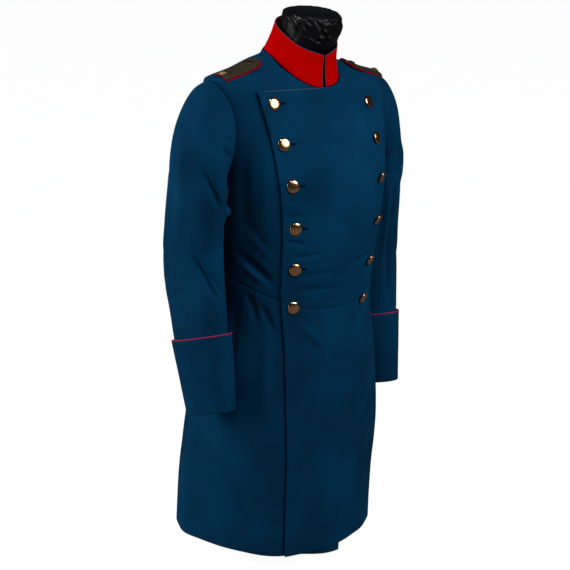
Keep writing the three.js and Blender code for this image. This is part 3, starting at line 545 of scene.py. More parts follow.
def shell(name, outer, inner, keep=None, ring=False, groove=None):
    """A closed sheet between two grids of points, with rounded edges.

    keep says which cells are cloth, and groove how deep in a groove each point lies, from 0 to 1.
    """
    rows, columns = outer.shape[:2]
    cells = columns if ring else columns - 1
    keep = np.ones((rows - 1, cells), bool) if keep is None else keep
    if ring:
        padded = np.pad(keep, ((1, 1), (0, 0)))
        padded = np.concatenate([padded[:, -1:], padded], 1)
    else:
        padded = np.pad(keep, 1)
    corner = [padded[r : r + rows, c : c + columns] for r in (0, 1) for c in (0, 1)]
    touching = sum(part.astype(int) for part in corner)
    used, rim = touching > 0, (touching > 0) & (touching < 4)
    half = np.linalg.norm(outer - inner, axis=-1) / 2
    middle = (outer + inner) / 2
    reach = np.where(rim, 0.0, 1e9)
    for axis in (0, 1):
        for step in (-3, -2, -1, 1, 2, 3):
            other, there = neighbour(middle, axis, step, ring)
            edge, _ = neighbour(rim, axis, step, ring)
            gap = np.linalg.norm(other - middle, axis=-1)
            reach = np.where(there & edge, np.minimum(reach, gap), reach)
    inset = 1 - np.sqrt(np.maximum(0, 1 - (1 - clamp01(reach / half)) ** 2))
    outer = mix(outer, middle, inset[..., None])
    inner = mix(inner, middle, inset[..., None])
    outer_id = np.full((rows, columns), -1)
    outer_id[used] = np.arange(used.sum())
    inner_id = outer_id.copy()
    free = used & ~rim
    inner_id[free] = used.sum() + np.arange(free.sum())
    points = np.concatenate([outer[used], inner[free]])
    r, c = np.nonzero(keep)
    d = (c + 1) % columns
    front = np.stack([outer_id[r, c], outer_id[r, d], outer_id[r + 1, d], outer_id[r + 1, c]], 1)
    back = np.stack([inner_id[r, c], inner_id[r + 1, c], inner_id[r + 1, d], inner_id[r, d]], 1)
    made = solid(name, points, np.concatenate([front, back]).tolist())
    if groove is not None:
        depth = made.data.attributes.new("groove", "FLOAT", "POINT")
        depth.data.foreach_set("value", np.concatenate([groove[used], groove[free]]).astype(np.float32))
    return made


def solid(name, points, faces):
    """A smooth mesh object from points in millimetres, its faces turned outward."""
    points = np.asarray(points)
    fans = [(face[0], face[k], face[k + 1]) for face in faces for k in range(1, len(face) - 1)]
    a, b, c = np.moveaxis(points[np.array(fans)], 1, 0)
    if (a * np.cross(b, c)).sum() < 0:  # the signed volume
        faces = [face[::-1] for face in faces]
    mesh = bpy.data.meshes.new(name)
    mesh.from_pydata((points * MM).tolist(), [], faces)
    mesh.shade_smooth()
    made = bpy.data.objects.new(name, mesh)
    bpy.context.scene.collection.objects.link(made)
    return made


def tube(name, path, radius, sides=10, looped=False):
    """A cord of round section along a path."""
    path = np.asarray(path, float)
    if looped:
        along = np.roll(path, -1, 0) - np.roll(path, 1, 0)
    else:
        along = np.gradient(path, axis=0)
    along = unit(along)
    side = np.cross(along[0], (0.3, 0.2, 0.93))
    frames = []
    for tangent in along:  # the section is carried along the path without twisting
        side = unit(side - tangent * (side @ tangent))
        frames.append((side, np.cross(tangent, side)))
    turn = 2 * np.pi * np.arange(sides) / sides
    rings = [
        p + radius * (np.cos(turn)[:, None] * a + np.sin(turn)[:, None] * b)
        for p, (a, b) in zip(path, frames)
    ]
    count = len(path)
    faces = []
    for r in range(count if looped else count - 1):
        n = (r + 1) % count
        for c in range(sides):
            d = (c + 1) % sides
            faces.append([r * sides + c, r * sides + d, n * sides + d, n * sides + c])
    if not looped:
        faces.append(list(range(sides))[::-1])
        faces.append([(count - 1) * sides + c for c in range(sides)])
    return solid(name, np.concatenate(rings), faces)


def lathe(name, profile, place, direction, segments=48):
    """A turned piece: profile is (radius, height) from its back's middle to its front's middle."""
    up = unit(np.asarray(direction, float))
    helper = np.array((1.0, 0, 0)) if abs(up[0]) < 0.8 else np.array((0, 1.0, 0))
    a = unit(np.cross(up, helper))
    b = np.cross(up, a)
    turn = 2 * np.pi * np.arange(segments) / segments
    spoke = np.cos(turn)[:, None] * a + np.sin(turn)[:, None] * b
    inner = profile[1:-1]
    points = [place + up * profile[0][1]]
    points += [place + up * h + s * r for r, h in inner for s in spoke]
    points.append(place + up * profile[-1][1])
    faces = []
    last = len(points) - 1
    for c in range(segments):
        d = (c + 1) % segments
        faces.append([0, 1 + d, 1 + c])
        for r in range(len(inner) - 1):
            low, high = 1 + r * segments, 1 + (r + 1) * segments
            faces.append([low + c, low + d, high + d, high + c])
        top = 1 + (len(inner) - 1) * segments
        faces.append([top + c, top + d, last])
    return solid(name, np.array(points), faces)


# ---------------------------------------------------------------- materials


def material(name, colour, roughness, metallic=0.0, sheen=0.0, sheen_tint=(1, 1, 1), specular=0.5):
    made = bpy.data.materials.new(name)
    made.use_nodes = True
    shader = made.node_tree.nodes["Principled BSDF"]
    shader.inputs["Base Color"].default_value = (*colour, 1)
    shader.inputs["Roughness"].default_value = roughness
    shader.inputs["Metallic"].default_value = metallic
    shader.inputs["Sheen Weight"].default_value = sheen
    shader.inputs["Sheen Tint"].default_value = (*sheen_tint, 1)
    shader.inputs["Sheen Roughness"].default_value = 0.5
    shader.inputs["Specular IOR Level"].default_value = specular
    return made, made.node_tree, shader


def texture(tree, kind, scale, detail, stretch=(1, 1, 1), turn=(0, 0, 0)):
    """A texture over the object's own coordinates, which are metres."""
    place = tree.nodes.new("ShaderNodeTexCoord")
    mapping = tree.nodes.new("ShaderNodeMapping")
    mapping.inputs["Scale"].default_value = stretch
    mapping.inputs["Rotation"].default_value = turn
    made = tree.nodes.new(kind)
    made.inputs["Scale"].default_value = scale
    made.inputs["Detail"].default_value = detail
    tree.links.new(place.outputs["Object"], mapping.inputs["Vector"])
    tree.links.new(mapping.outputs["Vector"], made.inputs["Vector"])
    return made


def noise(tree, scale, detail, stretch=(1, 1, 1), turn=(0, 0, 0)):
    return texture(tree, "ShaderNodeTexNoise", scale, detail, stretch, turn).outputs["Fac"]


def ribs(tree, scale, turn, distortion):
    """Parallel ridges, used as the lines of a weave."""
    made = texture(tree, "ShaderNodeTexWave", scale, 2, turn=turn)
    made.inputs["Distortion"].default_value = distortion
    return made.outputs["Fac"]


def ramp(tree, source, stops):
    made = tree.nodes.new("ShaderNodeValToRGB")
    tree.links.new(source, made.inputs["Fac"])
    elements = made.color_ramp.elements
    for at, colour in stops[2:]:
        elements.new(at)
    for element, (at, colour) in zip(elements, sorted(stops)):
        element.position = at
        element.color = (*colour, 1)
    return made.outputs["Color"]


def add_up(tree, first, second, share):
    made = tree.nodes.new("ShaderNodeMath")
    made.operation = "MULTIPLY_ADD"
    made.inputs[1].default_value = share
    tree.links.new(second, made.inputs[0])
    tree.links.new(first, made.inputs[2])
    return made.outputs["Value"]


def bump(tree, shader, height, strength, distance):
    made = tree.nodes.new("ShaderNodeBump")
    made.inputs["Strength"].default_value = strength
    made.inputs["Distance"].default_value = distance
    tree.links.new(height, made.inputs["Height"])
    tree.links.new(made.outputs["Normal"], shader.inputs["Normal"])


def scaled(colour, share):
    return tuple(c * share for c in colour)


def cloth(name, colour, sheen, sheen_tint, unevenness=0.12, specular=0.25):
    """Fulled wool: a fine slanting twill under a short nap, its colour a little uneven."""
    made, tree, shader = material(name, colour, 0.88, 0, sheen, sheen_tint, specular)
    patches = noise(tree, 9, 4)
    fuzz = noise(tree, 900, 2)
    uneven = add_up(tree, patches, fuzz, 0.35)
    low, high = scaled(colour, 1 - unevenness), scaled(colour, 1 + unevenness)
    tone = ramp(tree, uneven, [(0.5, low), (0.85, high)])
    tree.links.new(tone, shader.inputs["Base Color"])
    twill = ribs(tree, 260, (0.3, 0.4, 0.7), 1.2)
    nap = noise(tree, 1400, 3, (1, 1, 0.6))
    bump(tree, shader, add_up(tree, nap, twill, 0.35), 0.35, 0.0006)
    return made


def metal(name, colour, roughness, dulled):
    """Worn metal: darker and duller where it is tarnished, with fine scratches."""
    made, tree, shader = material(name, colour, roughness, 1.0)
    tarnish = noise(tree, 160, 5)
    tone = ramp(tree, tarnish, [(0.35, scaled(colour, dulled)), (0.62, colour)])
    tree.links.new(tone, shader.inputs["Base Color"])
    rough = ramp(tree, tarnish, [(0.3, (roughness + 0.08,) * 3), (0.7, (roughness,) * 3)])
    tree.links.new(rough, shader.inputs["Roughness"])
    scratches = noise(tree, 700, 2, (1, 0.15, 1), (0.4, 0.2, 0.7))
    bump(tree, shader, scratches, 0.02, 0.0002)
    return made


def braid_cloth(name, colour, dark):
    """Tarnished metal braid: fine slanting threads with darker ones worked in, darker again in the
    grooves between its cords.
    """
    made, tree, shader = material(name, colour, 0.5, 0.55)
    threads = ribs(tree, 420, (0, 0, 0.9), 0.6)
    flecks = noise(tree, 330, 3)
    groove = tree.nodes.new("ShaderNodeAttribute")
    groove.attribute_name = "groove"
    braid_tone = add_up(tree, flecks, threads, 0.3)
    braid_tone = add_up(tree, braid_tone, groove.outputs["Fac"], -0.55)
    tone = ramp(tree, braid_tone, [(0.2, dark), (0.72, colour)])
    tree.links.new(tone, shader.inputs["Base Color"])
    bump(tree, shader, threads, 0.5, 0.0005)
    return made


def form_cloth(name, colour):
    """Thin black cloth pulled over the form."""
    made, tree, shader = material(name, colour, 0.3, 0, 0.0, (0.8, 0.85, 1), 0.16)
    weave = noise(tree, 900, 2)
    slub = noise(tree, 60, 4)
    tone = ramp(tree, slub, [(0.3, scaled(colour, 0.75)), (0.7, scaled(colour, 1.25))])
    tree.links.new(tone, shader.inputs["Base Color"])
    bump(tree, shader, add_up(tree, weave, slub, 0.6), 0.3, 0.0008)
    return made


def painted(name, colour):
    made, tree, shader = material(name, colour, 0.42, 0.3)
    orange_peel = noise(tree, 240, 3)
    rough = ramp(tree, orange_peel, [(0.3, (0.36,) * 3), (0.7, (0.5,) * 3)])
    tree.links.new(rough, shader.inputs["Roughness"])
    bump(tree, shader, orange_peel, 0.1, 0.0004)
    return made


BLUE = (0.0004, 0.027, 0.068)
wool = cloth("wool", BLUE, 0.012, (0.1, 0.6, 1.0), 0.26, 0.03)
red_wool = cloth("red_wool", (0.40, 0.0, 0.0), 0.0, (1.0, 0.05, 0.05), 0.08, 0.008)
# the collar's red cloth painted darker for the boards' underlays: painted shade at the rim beside the
# braid
board_red = cloth("board_red", (0.15, 0.0008, 0.006), 0.01, (1.0, 0.2, 0.2), 0.1, 0.03)
collar_cord = cloth("collar_cord", (0.012, 0.02, 0.05), 0.1, (0.6, 0.7, 1.0))
crimson_cord = cloth("crimson_cord", (0.26, 0.01, 0.045), 0.1, (1.0, 0.5, 0.6), 0.12, 0.1)
# buttonhole stitching in the wool, painted near-black as the shade of the slits
buttonhole_shade_thread = cloth("buttonhole_shade_thread", (0.0003, 0.003, 0.009), 0.0, (0.5, 0.7, 1.0), 0.1, 0.02)
# a cord lighter than the wool: painted highlight on the lapel's top edge, over the shade of its step
edge_highlight_thread = cloth("edge_highlight_thread", (0.035, 0.055, 0.095), 0.2, (0.9, 0.8, 0.9))
braid = braid_cloth("braid", (0.078, 0.062, 0.034), (0.004, 0.0035, 0.003))
copper = metal("copper", (0.72, 0.37, 0.18), 0.13, 0.8)
# the copper of the front buttons painted darker and duller: painted shade on the boards' small buttons
shaded_copper = metal("shaded_copper", (0.14, 0.09, 0.05), 0.4, 0.5)
gilt = metal("gilt", (0.95, 0.72, 0.30), 0.3, 0.85)
black_cloth = form_cloth("black_cloth", (0.003, 0.003, 0.0036))
stand_paint = painted("stand_paint", (0.014, 0.015, 0.018))


def finish(piece, finish_material, slot, *nodes):
    piece.data.materials.append(finish_material)
    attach(piece, "root")
    if nodes:
        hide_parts(*nodes)
    return piece


# ---------------------------------------------------------------- body panels

GAP = 4.0  # how far apart the cloth's points lie
BODY_REACH, ARM_REACH = 180, 60  # rough distances from the middle, which turn a gap into degrees
EDGE_DEGREES = np.array([0, 0.05, 0.17, 0.36])


def bearings(levels, stretches):
    """A row of bearings for each level, with points close together at the first and last edges."""
    nudge = math.degrees(SEAM / 2 / BODY_REACH)
    parts = []
    for part, (start, end, count) in enumerate(stretches):
        first, last = part == 0, part == len(stretches) - 1
        low, high = start(levels)[:, None], end(levels)[:, None]
        if first:
            low = low + nudge
            parts.append(low + EDGE_DEGREES[:-1])
            low = low + EDGE_DEGREES[-1]
        if last:
            high = high - nudge
            stop = high - EDGE_DEGREES[-1]
        else:
            stop = high
        shares = np.linspace(0, 1, count + 1)
        parts.append(mix(low, stop, shares if first else shares[1:]))
        if last:
            parts.append((high - EDGE_DEGREES[:-1])[:, ::-1])
    return np.concatenate(parts, 1)


def panel(name, levels, stretches, face=None, under=False, lapel=None, edge_columns=0):
    deg = bearings(levels, stretches)
    level = np.broadcast_to(levels[:, None], deg.shape)
    z = bent_height(deg, level, under)
    off = body_relief(deg, z) + (0 if face is None else face(deg, z))
    keep = None
    if lapel:
        keep = np.ones((deg.shape[0] - 1, deg.shape[1] - 1), bool)
        above = levels[1:] > LAPEL_TOP + 0.01
        column = np.arange(deg.shape[1] - 1)
        past = column < edge_columns if lapel == "first" else column >= len(column) - edge_columns
        keep[np.ix_(above, past)] = False
    return shell(name, on_body(deg, z, off), on_body(deg, z, off - CLOTH), keep)


def over_face(deg, z):
    """How far the over front stands off the body. Its top edge is pressed down on the cloth below."""
    pressed = 1.3 * smooth((z - LAPEL_TOP + 14) / 12) * smooth((LAPEL_TOP + 4 - z) / 4) * (deg < 0)
    return lap_at(deg, z) + edge_lift(deg, z) - pressed


def fore_side(z):
    above = np.where(z < TIP, arm_front_deg(z), 90.0)
    return np.where(z <= PIT, side_seam_deg(z), above)


def fore_neck(z):
    return np.where(z <= LAPEL_TOP, 0.0, bearing_of(front_neck_x(z), z))


def centre(z):
    return np.zeros_like(z)


FORE_LEVELS = stop_list(
    WAIST, NECK_SIDE - 0.6,
    ((PIT - 8, GAP), (PIT, 1.6), (PIT + 14, 1.6), (LAPEL_TOP - 8, GAP), (LAPEL_TOP - 1, 2.0),
     (LAPEL_TOP - 0.5, 0.5), (LAPEL_TOP, 0.4), (LAPEL_TOP + 1, 0.5), (TIP - 4, 1.5),
     (TIP, 0.7), (NECK_SIDE - 0.6 - 0.15 - 1.0, 1.1)),
)
SKIRT_LEVELS = stop_list(HEM, WAIST, ((WAIST - 1.15, GAP),))
SIDE_LEVELS = stop_list(
    WAIST, SIDE_BODY_TOP, ((PIT - 8, GAP), (PIT + 14, 1.6), (SIDE_BODY_TOP - 1.15, GAP))
)
BACK_LEVELS = stop_list(
    HEM, NECK_BACK - 0.6,
    ((SIDE_BODY_TOP - 4, GAP), (SIDE_BODY_TOP, 1.0), (SIDE_BODY_TOP + 1, 1.0), (TIP - 8, GAP),
     (TIP, 1.0), (NECK_SIDE, 1.2), (NECK_BACK - 0.6 - 1.15, 0.9)),
)
OVER_COLUMNS, FORE_COLUMNS, SIDE_COLUMNS, BACK_COLUMNS = 34, 56, 46, 24
LAPEL_CELLS = OVER_COLUMNS + len(EDGE_DEGREES) - 1

forepart_left = panel(
    "forepart_left_cloth", FORE_LEVELS,
    ((over_edge, fore_neck, OVER_COLUMNS), (fore_neck, fore_side, FORE_COLUMNS)),
    over_face, lapel="first", edge_columns=LAPEL_CELLS,
)
forepart_right = panel(
    "forepart_right_cloth", FORE_LEVELS,
    ((mirrored(fore_side), mirrored(fore_neck), FORE_COLUMNS), (centre, under_edge, OVER_COLUMNS)),
    lapel="last", edge_columns=LAPEL_CELLS,
)
skirt_left = panel(
    "skirt_left_cloth", SKIRT_LEVELS,
    ((over_edge, centre, OVER_COLUMNS), (centre, side_seam_deg, FORE_COLUMNS),
     (side_seam_deg, back_seam_deg, SIDE_COLUMNS)),
    over_face,
)
skirt_right = panel(
    "skirt_right_cloth", SKIRT_LEVELS,
    ((mirrored(back_seam_deg), mirrored(side_seam_deg), SIDE_COLUMNS),
     (mirrored(side_seam_deg), centre, FORE_COLUMNS), (centre, under_edge, OVER_COLUMNS)),
    under=True,
)


def side_front(z):
    return np.where(z <= PIT, side_seam_deg(z), arm_back_deg(z))


def back_side(z):
    above = np.where(z < TIP, arm_back_deg(z), 90.0)
    above = np.where(z <= NECK_SIDE, above, bearing_of(back_neck_x(z), z, True))
    return np.where(z <= SIDE_BODY_TOP, back_seam_deg(z), above)


def half_turn(z):
    return np.full_like(z, 180.0)


side_body, back = {}, {}
for word, side in (("right", -1), ("left", 1)):
    across, behind = (side_front, back_seam_deg), (back_side, half_turn)
    if side < 0:
        across, behind = ([mirrored(curve) for curve in pair[::-1]] for pair in (across, behind))
    side_body[side] = panel(f"side_body_{word}_cloth", SIDE_LEVELS, ((*across, SIDE_COLUMNS),))
    back[side] = panel(f"back_{word}_cloth", BACK_LEVELS, ((*behind, BACK_COLUMNS),))

# ---------------------------------------------------------------- sleeves and cuffs


def armhole_point(side, turn):
    sin, cos = sin_cos(turn)
    z = mix(PIT, TIP, (1 + sin) / 2)
    deg = side * np.where(cos >= 0, arm_front_deg(z), arm_back_deg(z))
    return on_body(deg, z, body_relief(deg, z))


def arm_point(side, z, turn, out=0.0):
    """A point of the arm below the head, on the ring at height z."""
    ring = ARM_CURVES[side]
    across = (ring[2](z) + out) * np.sin(np.radians(turn))
    forward = (ring[3](z) + out) * np.cos(np.radians(turn))
    lift = np.radians(ring[4](z))
    x = side * (ring[0](z) + across)
    return np.stack([x, ring[1](z) - forward * np.cos(lift), z + forward * np.sin(lift)], -1)


ARM_CURVES = {side: [through(table, k) for k in range(1, 6)] for side, table in ARMS.items()}
HEAD_ROWS = 46
EASINGS = 60  # how many times the turn from the head into the arm is eased, row by row
SLEEVE_PER_DEGREE = 1.05
CUFF_SPAN = {side: (table[0, 0], table[2, 0]) for side, table in ARMS.items()}


def head_point(side, turn, step):
    """A point of the sleeve head: step runs 0 to 1 from the armhole to the arm's first ring."""
    start, end = armhole_point(side, turn), arm_point(side, ARMS[side][-1, 0], turn)
    sin, cos = sin_cos(turn)
    away = unit(np.stack([side + 0 * sin, -0.3 * cos, -HEAD[side]["fall"] + 0 * sin], -1))
    low = clamp01((1 - sin) / 2)[..., None]
    leave = away * mix(HEAD[side]["out"], 26, low)
    down = unit(np.array((0, 0.2, -1.0))) * mix(HEAD_DOWN, 40, low)
    t, begun = step[..., None], start + away * 0.25
    t2, t3 = t * t, t * t * t
    ends = (2 * t3 - 3 * t2 + 1) * begun + (3 * t2 - 2 * t3) * end
    return ends + (t3 - 2 * t2 + t) * leave + (t3 - t2) * down


def sleeve_grid(side, turns):
    """The sleeve's smooth outer face over a row of turns, from the armhole down to the wrist."""
    steps = np.concatenate([EDGE_STEPS[:-1] / 200, np.linspace(0.006, 1, HEAD_ROWS)[:-1]])
    top, foot = ARMS[side][-1, 0], ARMS[side][0, 0]
    heights = np.concatenate([np.linspace(top, foot + 1, 102), (foot + EDGE_STEPS[:-1])[::-1]])
    step, turn = grid_of(steps, turns)
    head = head_point(side, turn, step)
    height, turn = grid_of(heights, turns)
    grid = np.concatenate([head, arm_point(side, height, turn)])
    ease = 0.5 * np.exp(-(((np.arange(len(grid)) - HEAD_ROWS - 2) / 9.0) ** 2))
    ease[:4] = ease[-6:] = 0
    for _ in range(EASINGS):
        average = (np.roll(grid, 1, 0) + np.roll(grid, -1, 0)) / 2
        grid = mix(grid, average, ease[:, None, None])
    return grid


def sleeve_relief(side, turns, grid):
    around = np.where(turns > 180, turns - 360, turns)[None, :]
    z = grid[..., 2]
    total = np.zeros(grid.shape[:2])
    for shift in (-360, 0, 360):
        total += folded(SLEEVE_FOLDS[side], around + shift + 0 * z, z, SLEEVE_PER_DEGREE)
    wave = np.radians(around)
    sway = 0.8 * np.sin(2 * wave + z / 37) + 0.6 * np.sin(3 * wave - z / 29 + side)
    sway += 0.4 * np.sin(5 * wave + z / 23 + 2)
    rows = np.arange(len(grid))[:, None]
    from_head = smooth((rows - 2) / 14)
    in_cuff = smooth((z - CUFF_SPAN[side][1] + 4) / 30)
    return (total + sway) * from_head * mix(0.15, 1, in_cuff)


def sleeve_faces(side, start, end, count):
    """Outer and inner faces of one piece of a sleeve, between two of its seams."""
    millimetre = math.degrees(1 / ARM_REACH)
    start, end = start + millimetre * SEAM / 2, end - millimetre * SEAM / 2
    close = EDGE_STEPS[:-1] * millimetre
    inner = np.linspace(start + millimetre, end - millimetre, count + 1)
    turns = np.concatenate([start + close, inner, (end - close)[::-1]])
    around = np.concatenate([[turns[0] - 2], turns, [turns[-1] + 2]])
    grid = sleeve_grid(side, around)
    across = grid[:, 2:] - grid[:, :-2]
    down = np.gradient(grid, axis=0)[:, 1:-1]
    normal = unit(np.cross(across, down)) * -side
    grid = grid[:, 1:-1]
    off = sleeve_relief(side, turns, grid)[..., None]
    return grid + normal * off, grid + normal * (off - CLOTH)


top_sleeve, under_sleeve, cuff, cuff_piping = {}, {}, {}, {}
CUFF_OFF = np.array([(0, 2.6), (0.5, 3.4), (1, 4.5)])
cuff_off = through(CUFF_OFF)
for word, side in (("right", -1), ("left", 1)):
    faces = sleeve_faces(side, FORE_SEAM, HIND_SEAM, 70)
    top_sleeve[side] = shell(f"top_sleeve_{word}_cloth", *faces)
    faces = sleeve_faces(side, HIND_SEAM, FORE_SEAM + 360, 40)
    under_sleeve[side] = shell(f"under_sleeve_{word}_cloth", *faces)
    foot, head = CUFF_SPAN[side]
    close = EDGE_STEPS[:-1]
    heights = np.concatenate([head - close, np.linspace(head - 1, foot + 1, 36), (foot + close)[::-1]])
    turns = np.arange(0, 360, 3.0)
    z, turn = grid_of(heights, turns)
    share = (z - foot) / (head - foot)
    wave = np.radians(turn)
    uneven = 0.5 * np.sin(2 * wave + z / 40) + 0.35 * np.sin(3 * wave - z / 31)
    stand = cuff_off(share) + np.maximum(uneven, -0.5)
    hang = 7 * np.exp(-(((turn - 126) / 34) ** 2)) - 2 * np.exp(-(((turn - 308) / 30) ** 2))
    drop = np.stack([0 * z, 0 * z, hang * (1 - share)], -1) * (side < 0)
    outer = arm_point(side, z, turn, stand + CLOTH) - drop
    inner = arm_point(side, z, turn, stand) - drop
    cuff[side] = shell(f"cuff_{word}_cloth", outer, inner, ring=True)
    rim = (outer[0] + inner[0]) / 2
    up = unit(rim - (outer[6] + inner[6]) / 2)
    rim = rim + up * (PIPING_RADIUS * 0.75)
    cuff_piping[side] = tube(f"cuff_piping_{word}_cord", rim, PIPING_RADIUS, looped=True)

# ---------------------------------------------------------------- collar


def neck_edge(turn):
    """A point of the edge that the fronts and backs leave round the neck."""
    sin, cos = sin_cos(turn)
    z = NECK_SIDE - np.where(cos >= 0, NECK_SIDE - LAPEL_TOP, NECK_BACK - NECK_SIDE) * cos
    x = NECK_HALF * sin
    deg = np.where(cos >= 0, bearing_of(x, z), bearing_of(x, z, True))
    on_left = smooth((x + 2) / 6) * (cos >= 0)
    return on_body(deg, z, body_relief(deg, z) + on_left * lap_at(deg, z))


def neckline_point(turn):
    """The collar's foot: the neck edge, eased where front and back meet on the shoulder."""
    from_front = 180 - np.abs(180 - turn)
    eased = sum(neck_edge(turn + step) for step in (-24, -16, -8, 0, 8, 16, 24)) / 7
    near = np.exp(-(((from_front - 90) / 24) ** 2))[..., None]
    return mix(neck_edge(turn), eased, near)


def collar_point(turn, up):
    """A point of the collar's outer face. turn runs 0 to 360 from the centre front, up runs 0 to 1."""
    sin, cos = sin_cos(turn)
    away = 180 - np.abs(180 - turn)
    inset = np.stack([-COLLAR_INSET * sin, COLLAR_INSET * cos, COLLAR_LIFT + 0 * sin], -1)
    foot = neckline_point(turn) + inset
    radius = collar_radius(away)
    top = np.stack([radius * sin, COLLAR_TOP_MID - radius * cos, collar_height(away)], -1)
    hollow = COLLAR_HOLLOW * np.sin(np.pi * up)
    hollow = hollow - 0.7 * np.sin(np.radians(3 * turn) + 2.0) * np.sin(np.pi * up)
    point = mix(foot, top, np.asarray(up)[..., None])
    return point + np.stack([-hollow * sin, hollow * cos, 0 * sin], -1)


def on_collar(turn, up, out):
    across = collar_point(turn + 1, up) - collar_point(turn - 1, up)
    above, below = np.minimum(1, up + 0.05), np.maximum(0, up - 0.05)
    facing = unit(np.cross(across, collar_point(turn, above) - collar_point(turn, below)))
    return collar_point(turn, up) + facing * np.asarray(out)[..., None]


collar_steps = np.array([0, 0.25, 0.8])
turns = np.concatenate([
    COLLAR_END + collar_steps,
    np.linspace(COLLAR_END + 1.6, 360 - COLLAR_END - 1.6, 150),
    (360 - COLLAR_END - collar_steps)[::-1],
])
ups = np.concatenate([
    collar_steps / COLLAR_RISE, np.linspace(0.03, 0.97, 20), (1 - collar_steps / COLLAR_RISE)[::-1],
])
up, turn = grid_of(ups, turns)
collar = shell("collar_cloth", on_collar(turn, up, 0 * up), on_collar(turn, up, 0 * up - COLLAR_CLOTH))


def collar_piping_path():
    climb = np.linspace(0.03, 1, 12)
    middle = -COLLAR_CLOTH / 2
    ends = []
    for at, inside in ((COLLAR_END, COLLAR_END + 1), (360 - COLLAR_END, 359 - COLLAR_END)):
        edge = on_collar(at + 0 * climb, climb, middle + 0 * climb)
        beside = unit(edge - on_collar(inside + 0 * climb, climb, middle + 0 * climb))
        up_end = edge + beside * COLLAR_PIPING_RADIUS
        ends.append(np.concatenate([up_end, up_end[-1:] + (0, 0, COLLAR_PIPING_RADIUS * 0.6)]))
    around = np.linspace(COLLAR_END, 360 - COLLAR_END, 150)
    over = on_collar(around, 1 + 0 * around, middle + 0 * around) + (0, 0, COLLAR_PIPING_RADIUS * 0.8)
    return np.concatenate([ends[0], over, ends[1][::-1]])


collar_piping = tube("collar_piping_cord", collar_piping_path(), COLLAR_PIPING_RADIUS)

# ---------------------------------------------------------------- shoulder boards


HALVINGS = 36  # enough to find a height to well under a micrometre


def shoulder_height(x, y):
    """The height of the body's upper face over a place, found by halving."""
    low, high = LAPEL_TOP - 40 + 0 * x, NECK_SIDE + 0 * x
    for _ in range(HALVINGS):
        z = (low + high) / 2
        share = np.minimum(np.abs(x) / body_half(z), 1)
        depth = np.where(y < body_mid(z), body_front(z), body_back(z))
        reach = np.where(share < 1, depth * (1 - share ** body_power(z)) ** (1 / body_power(z)), -1)
        inside = reach >= np.abs(y - body_mid(z))
        low, high = np.where(inside, z, low), np.where(inside, high, z)
    return low


def board_ridge(side, x):
    return shoulder_height(x, BOARD["mid"] + 0 * x) - left_drop(side * x, LAPEL_TOP)


def board_point(side, along, across, out):
    x = mix(BOARD["inner"], BOARD["outer"], along)
    slope = (board_ridge(side, x + 2) - board_ridge(side, x - 2)) / 4
    up = unit(np.stack([-slope, 0 * slope, 1 + 0 * slope], -1))
    tilt = math.radians(BOARD["tilt"])
    base = np.stack([x, BOARD["mid"] + 0 * x, board_ridge(side, x)], -1)
    point = base + up * (out + BOARD["off"] - BOARD["crown"] * across**2)[..., None]
    point = point - np.stack([0 * x, across * math.cos(tilt), across * math.sin(tilt)], -1)
    return point * (side, 1, 1)


def board_half(along, margin):
    length = BOARD["outer"] - BOARD["inner"]
    half = BOARD["width"] / 2 - margin
    start = along * length - margin
    return np.where(start >= half, half, np.sqrt(np.maximum(0, half**2 - (half - start) ** 2)))


def board_plate(name, side, margin, low, high, cords=0):
    """One layer of a board. cords is how many run its length and turn round its neck end."""
    length = BOARD["outer"] - BOARD["inner"]
    shares = np.concatenate([
        [0.004, 0.012, 0.024, 0.04, 0.06], np.linspace(0.08, 0.97, 60), [0.985, 0.995, 1],
    ])
    along = mix(margin / length, 1 - margin / (2 * length), shares)
    half = board_half(along, margin)
    side_steps = np.concatenate([[-1, -0.99, -0.965], np.linspace(-0.93, 0.93, 53), [0.965, 0.99, 1]])
    across = half[:, None] * side_steps[None, :]
    along = along[:, None] + 0 * across
    top = high + 0 * across
    groove = None
    if cords:
        spine = BOARD["width"] / 2
        before = np.maximum(0, spine - along * length)
        from_spine = np.hypot(before, across) / (BOARD["width"] / 2 - margin)
        groove = 1 - np.abs(np.sin(np.pi * cords * from_spine)) ** 0.6
        top = top - 1.0 * groove
        top = top + 0.2 * np.sin(along * length * 2.1 + 3 * np.sign(np.sin(np.pi * cords * from_spine)))
    inner = board_point(side, along, across, low + 0 * across)
    return shell(name, board_point(side, along, across, top), inner, groove=groove)


def button_profile(radius):
    rim = [(0, 0), (radius * 0.86, 0), (radius * 0.97, radius * 0.03), (radius, radius * 0.09)]
    rim += [(radius * 0.985, radius * 0.16), (radius * 0.93, radius * 0.19)]
    turns = np.linspace(0.12, 1.5, 12)
    dome = [(radius * 0.9 * math.cos(t), radius * (0.19 + 0.17 * math.sin(t))) for t in turns]
    return [*rim, *dome, (0, radius * 0.36)]


def board_spot(side, along, across=0, out=0):
    return board_point(side, *(np.array(float(v)) for v in (along, across, out)))


def board_ways(side, start, end):
    """The ways along a board and up from it, between two shares of its length."""
    ahead = board_spot(side, 0.25, 1) - board_spot(side, 0.25)
    lengthwise = board_spot(side, end) - board_spot(side, start)
    upward = unit(np.cross(ahead, lengthwise))
    return lengthwise, upward * np.sign(upward[2])


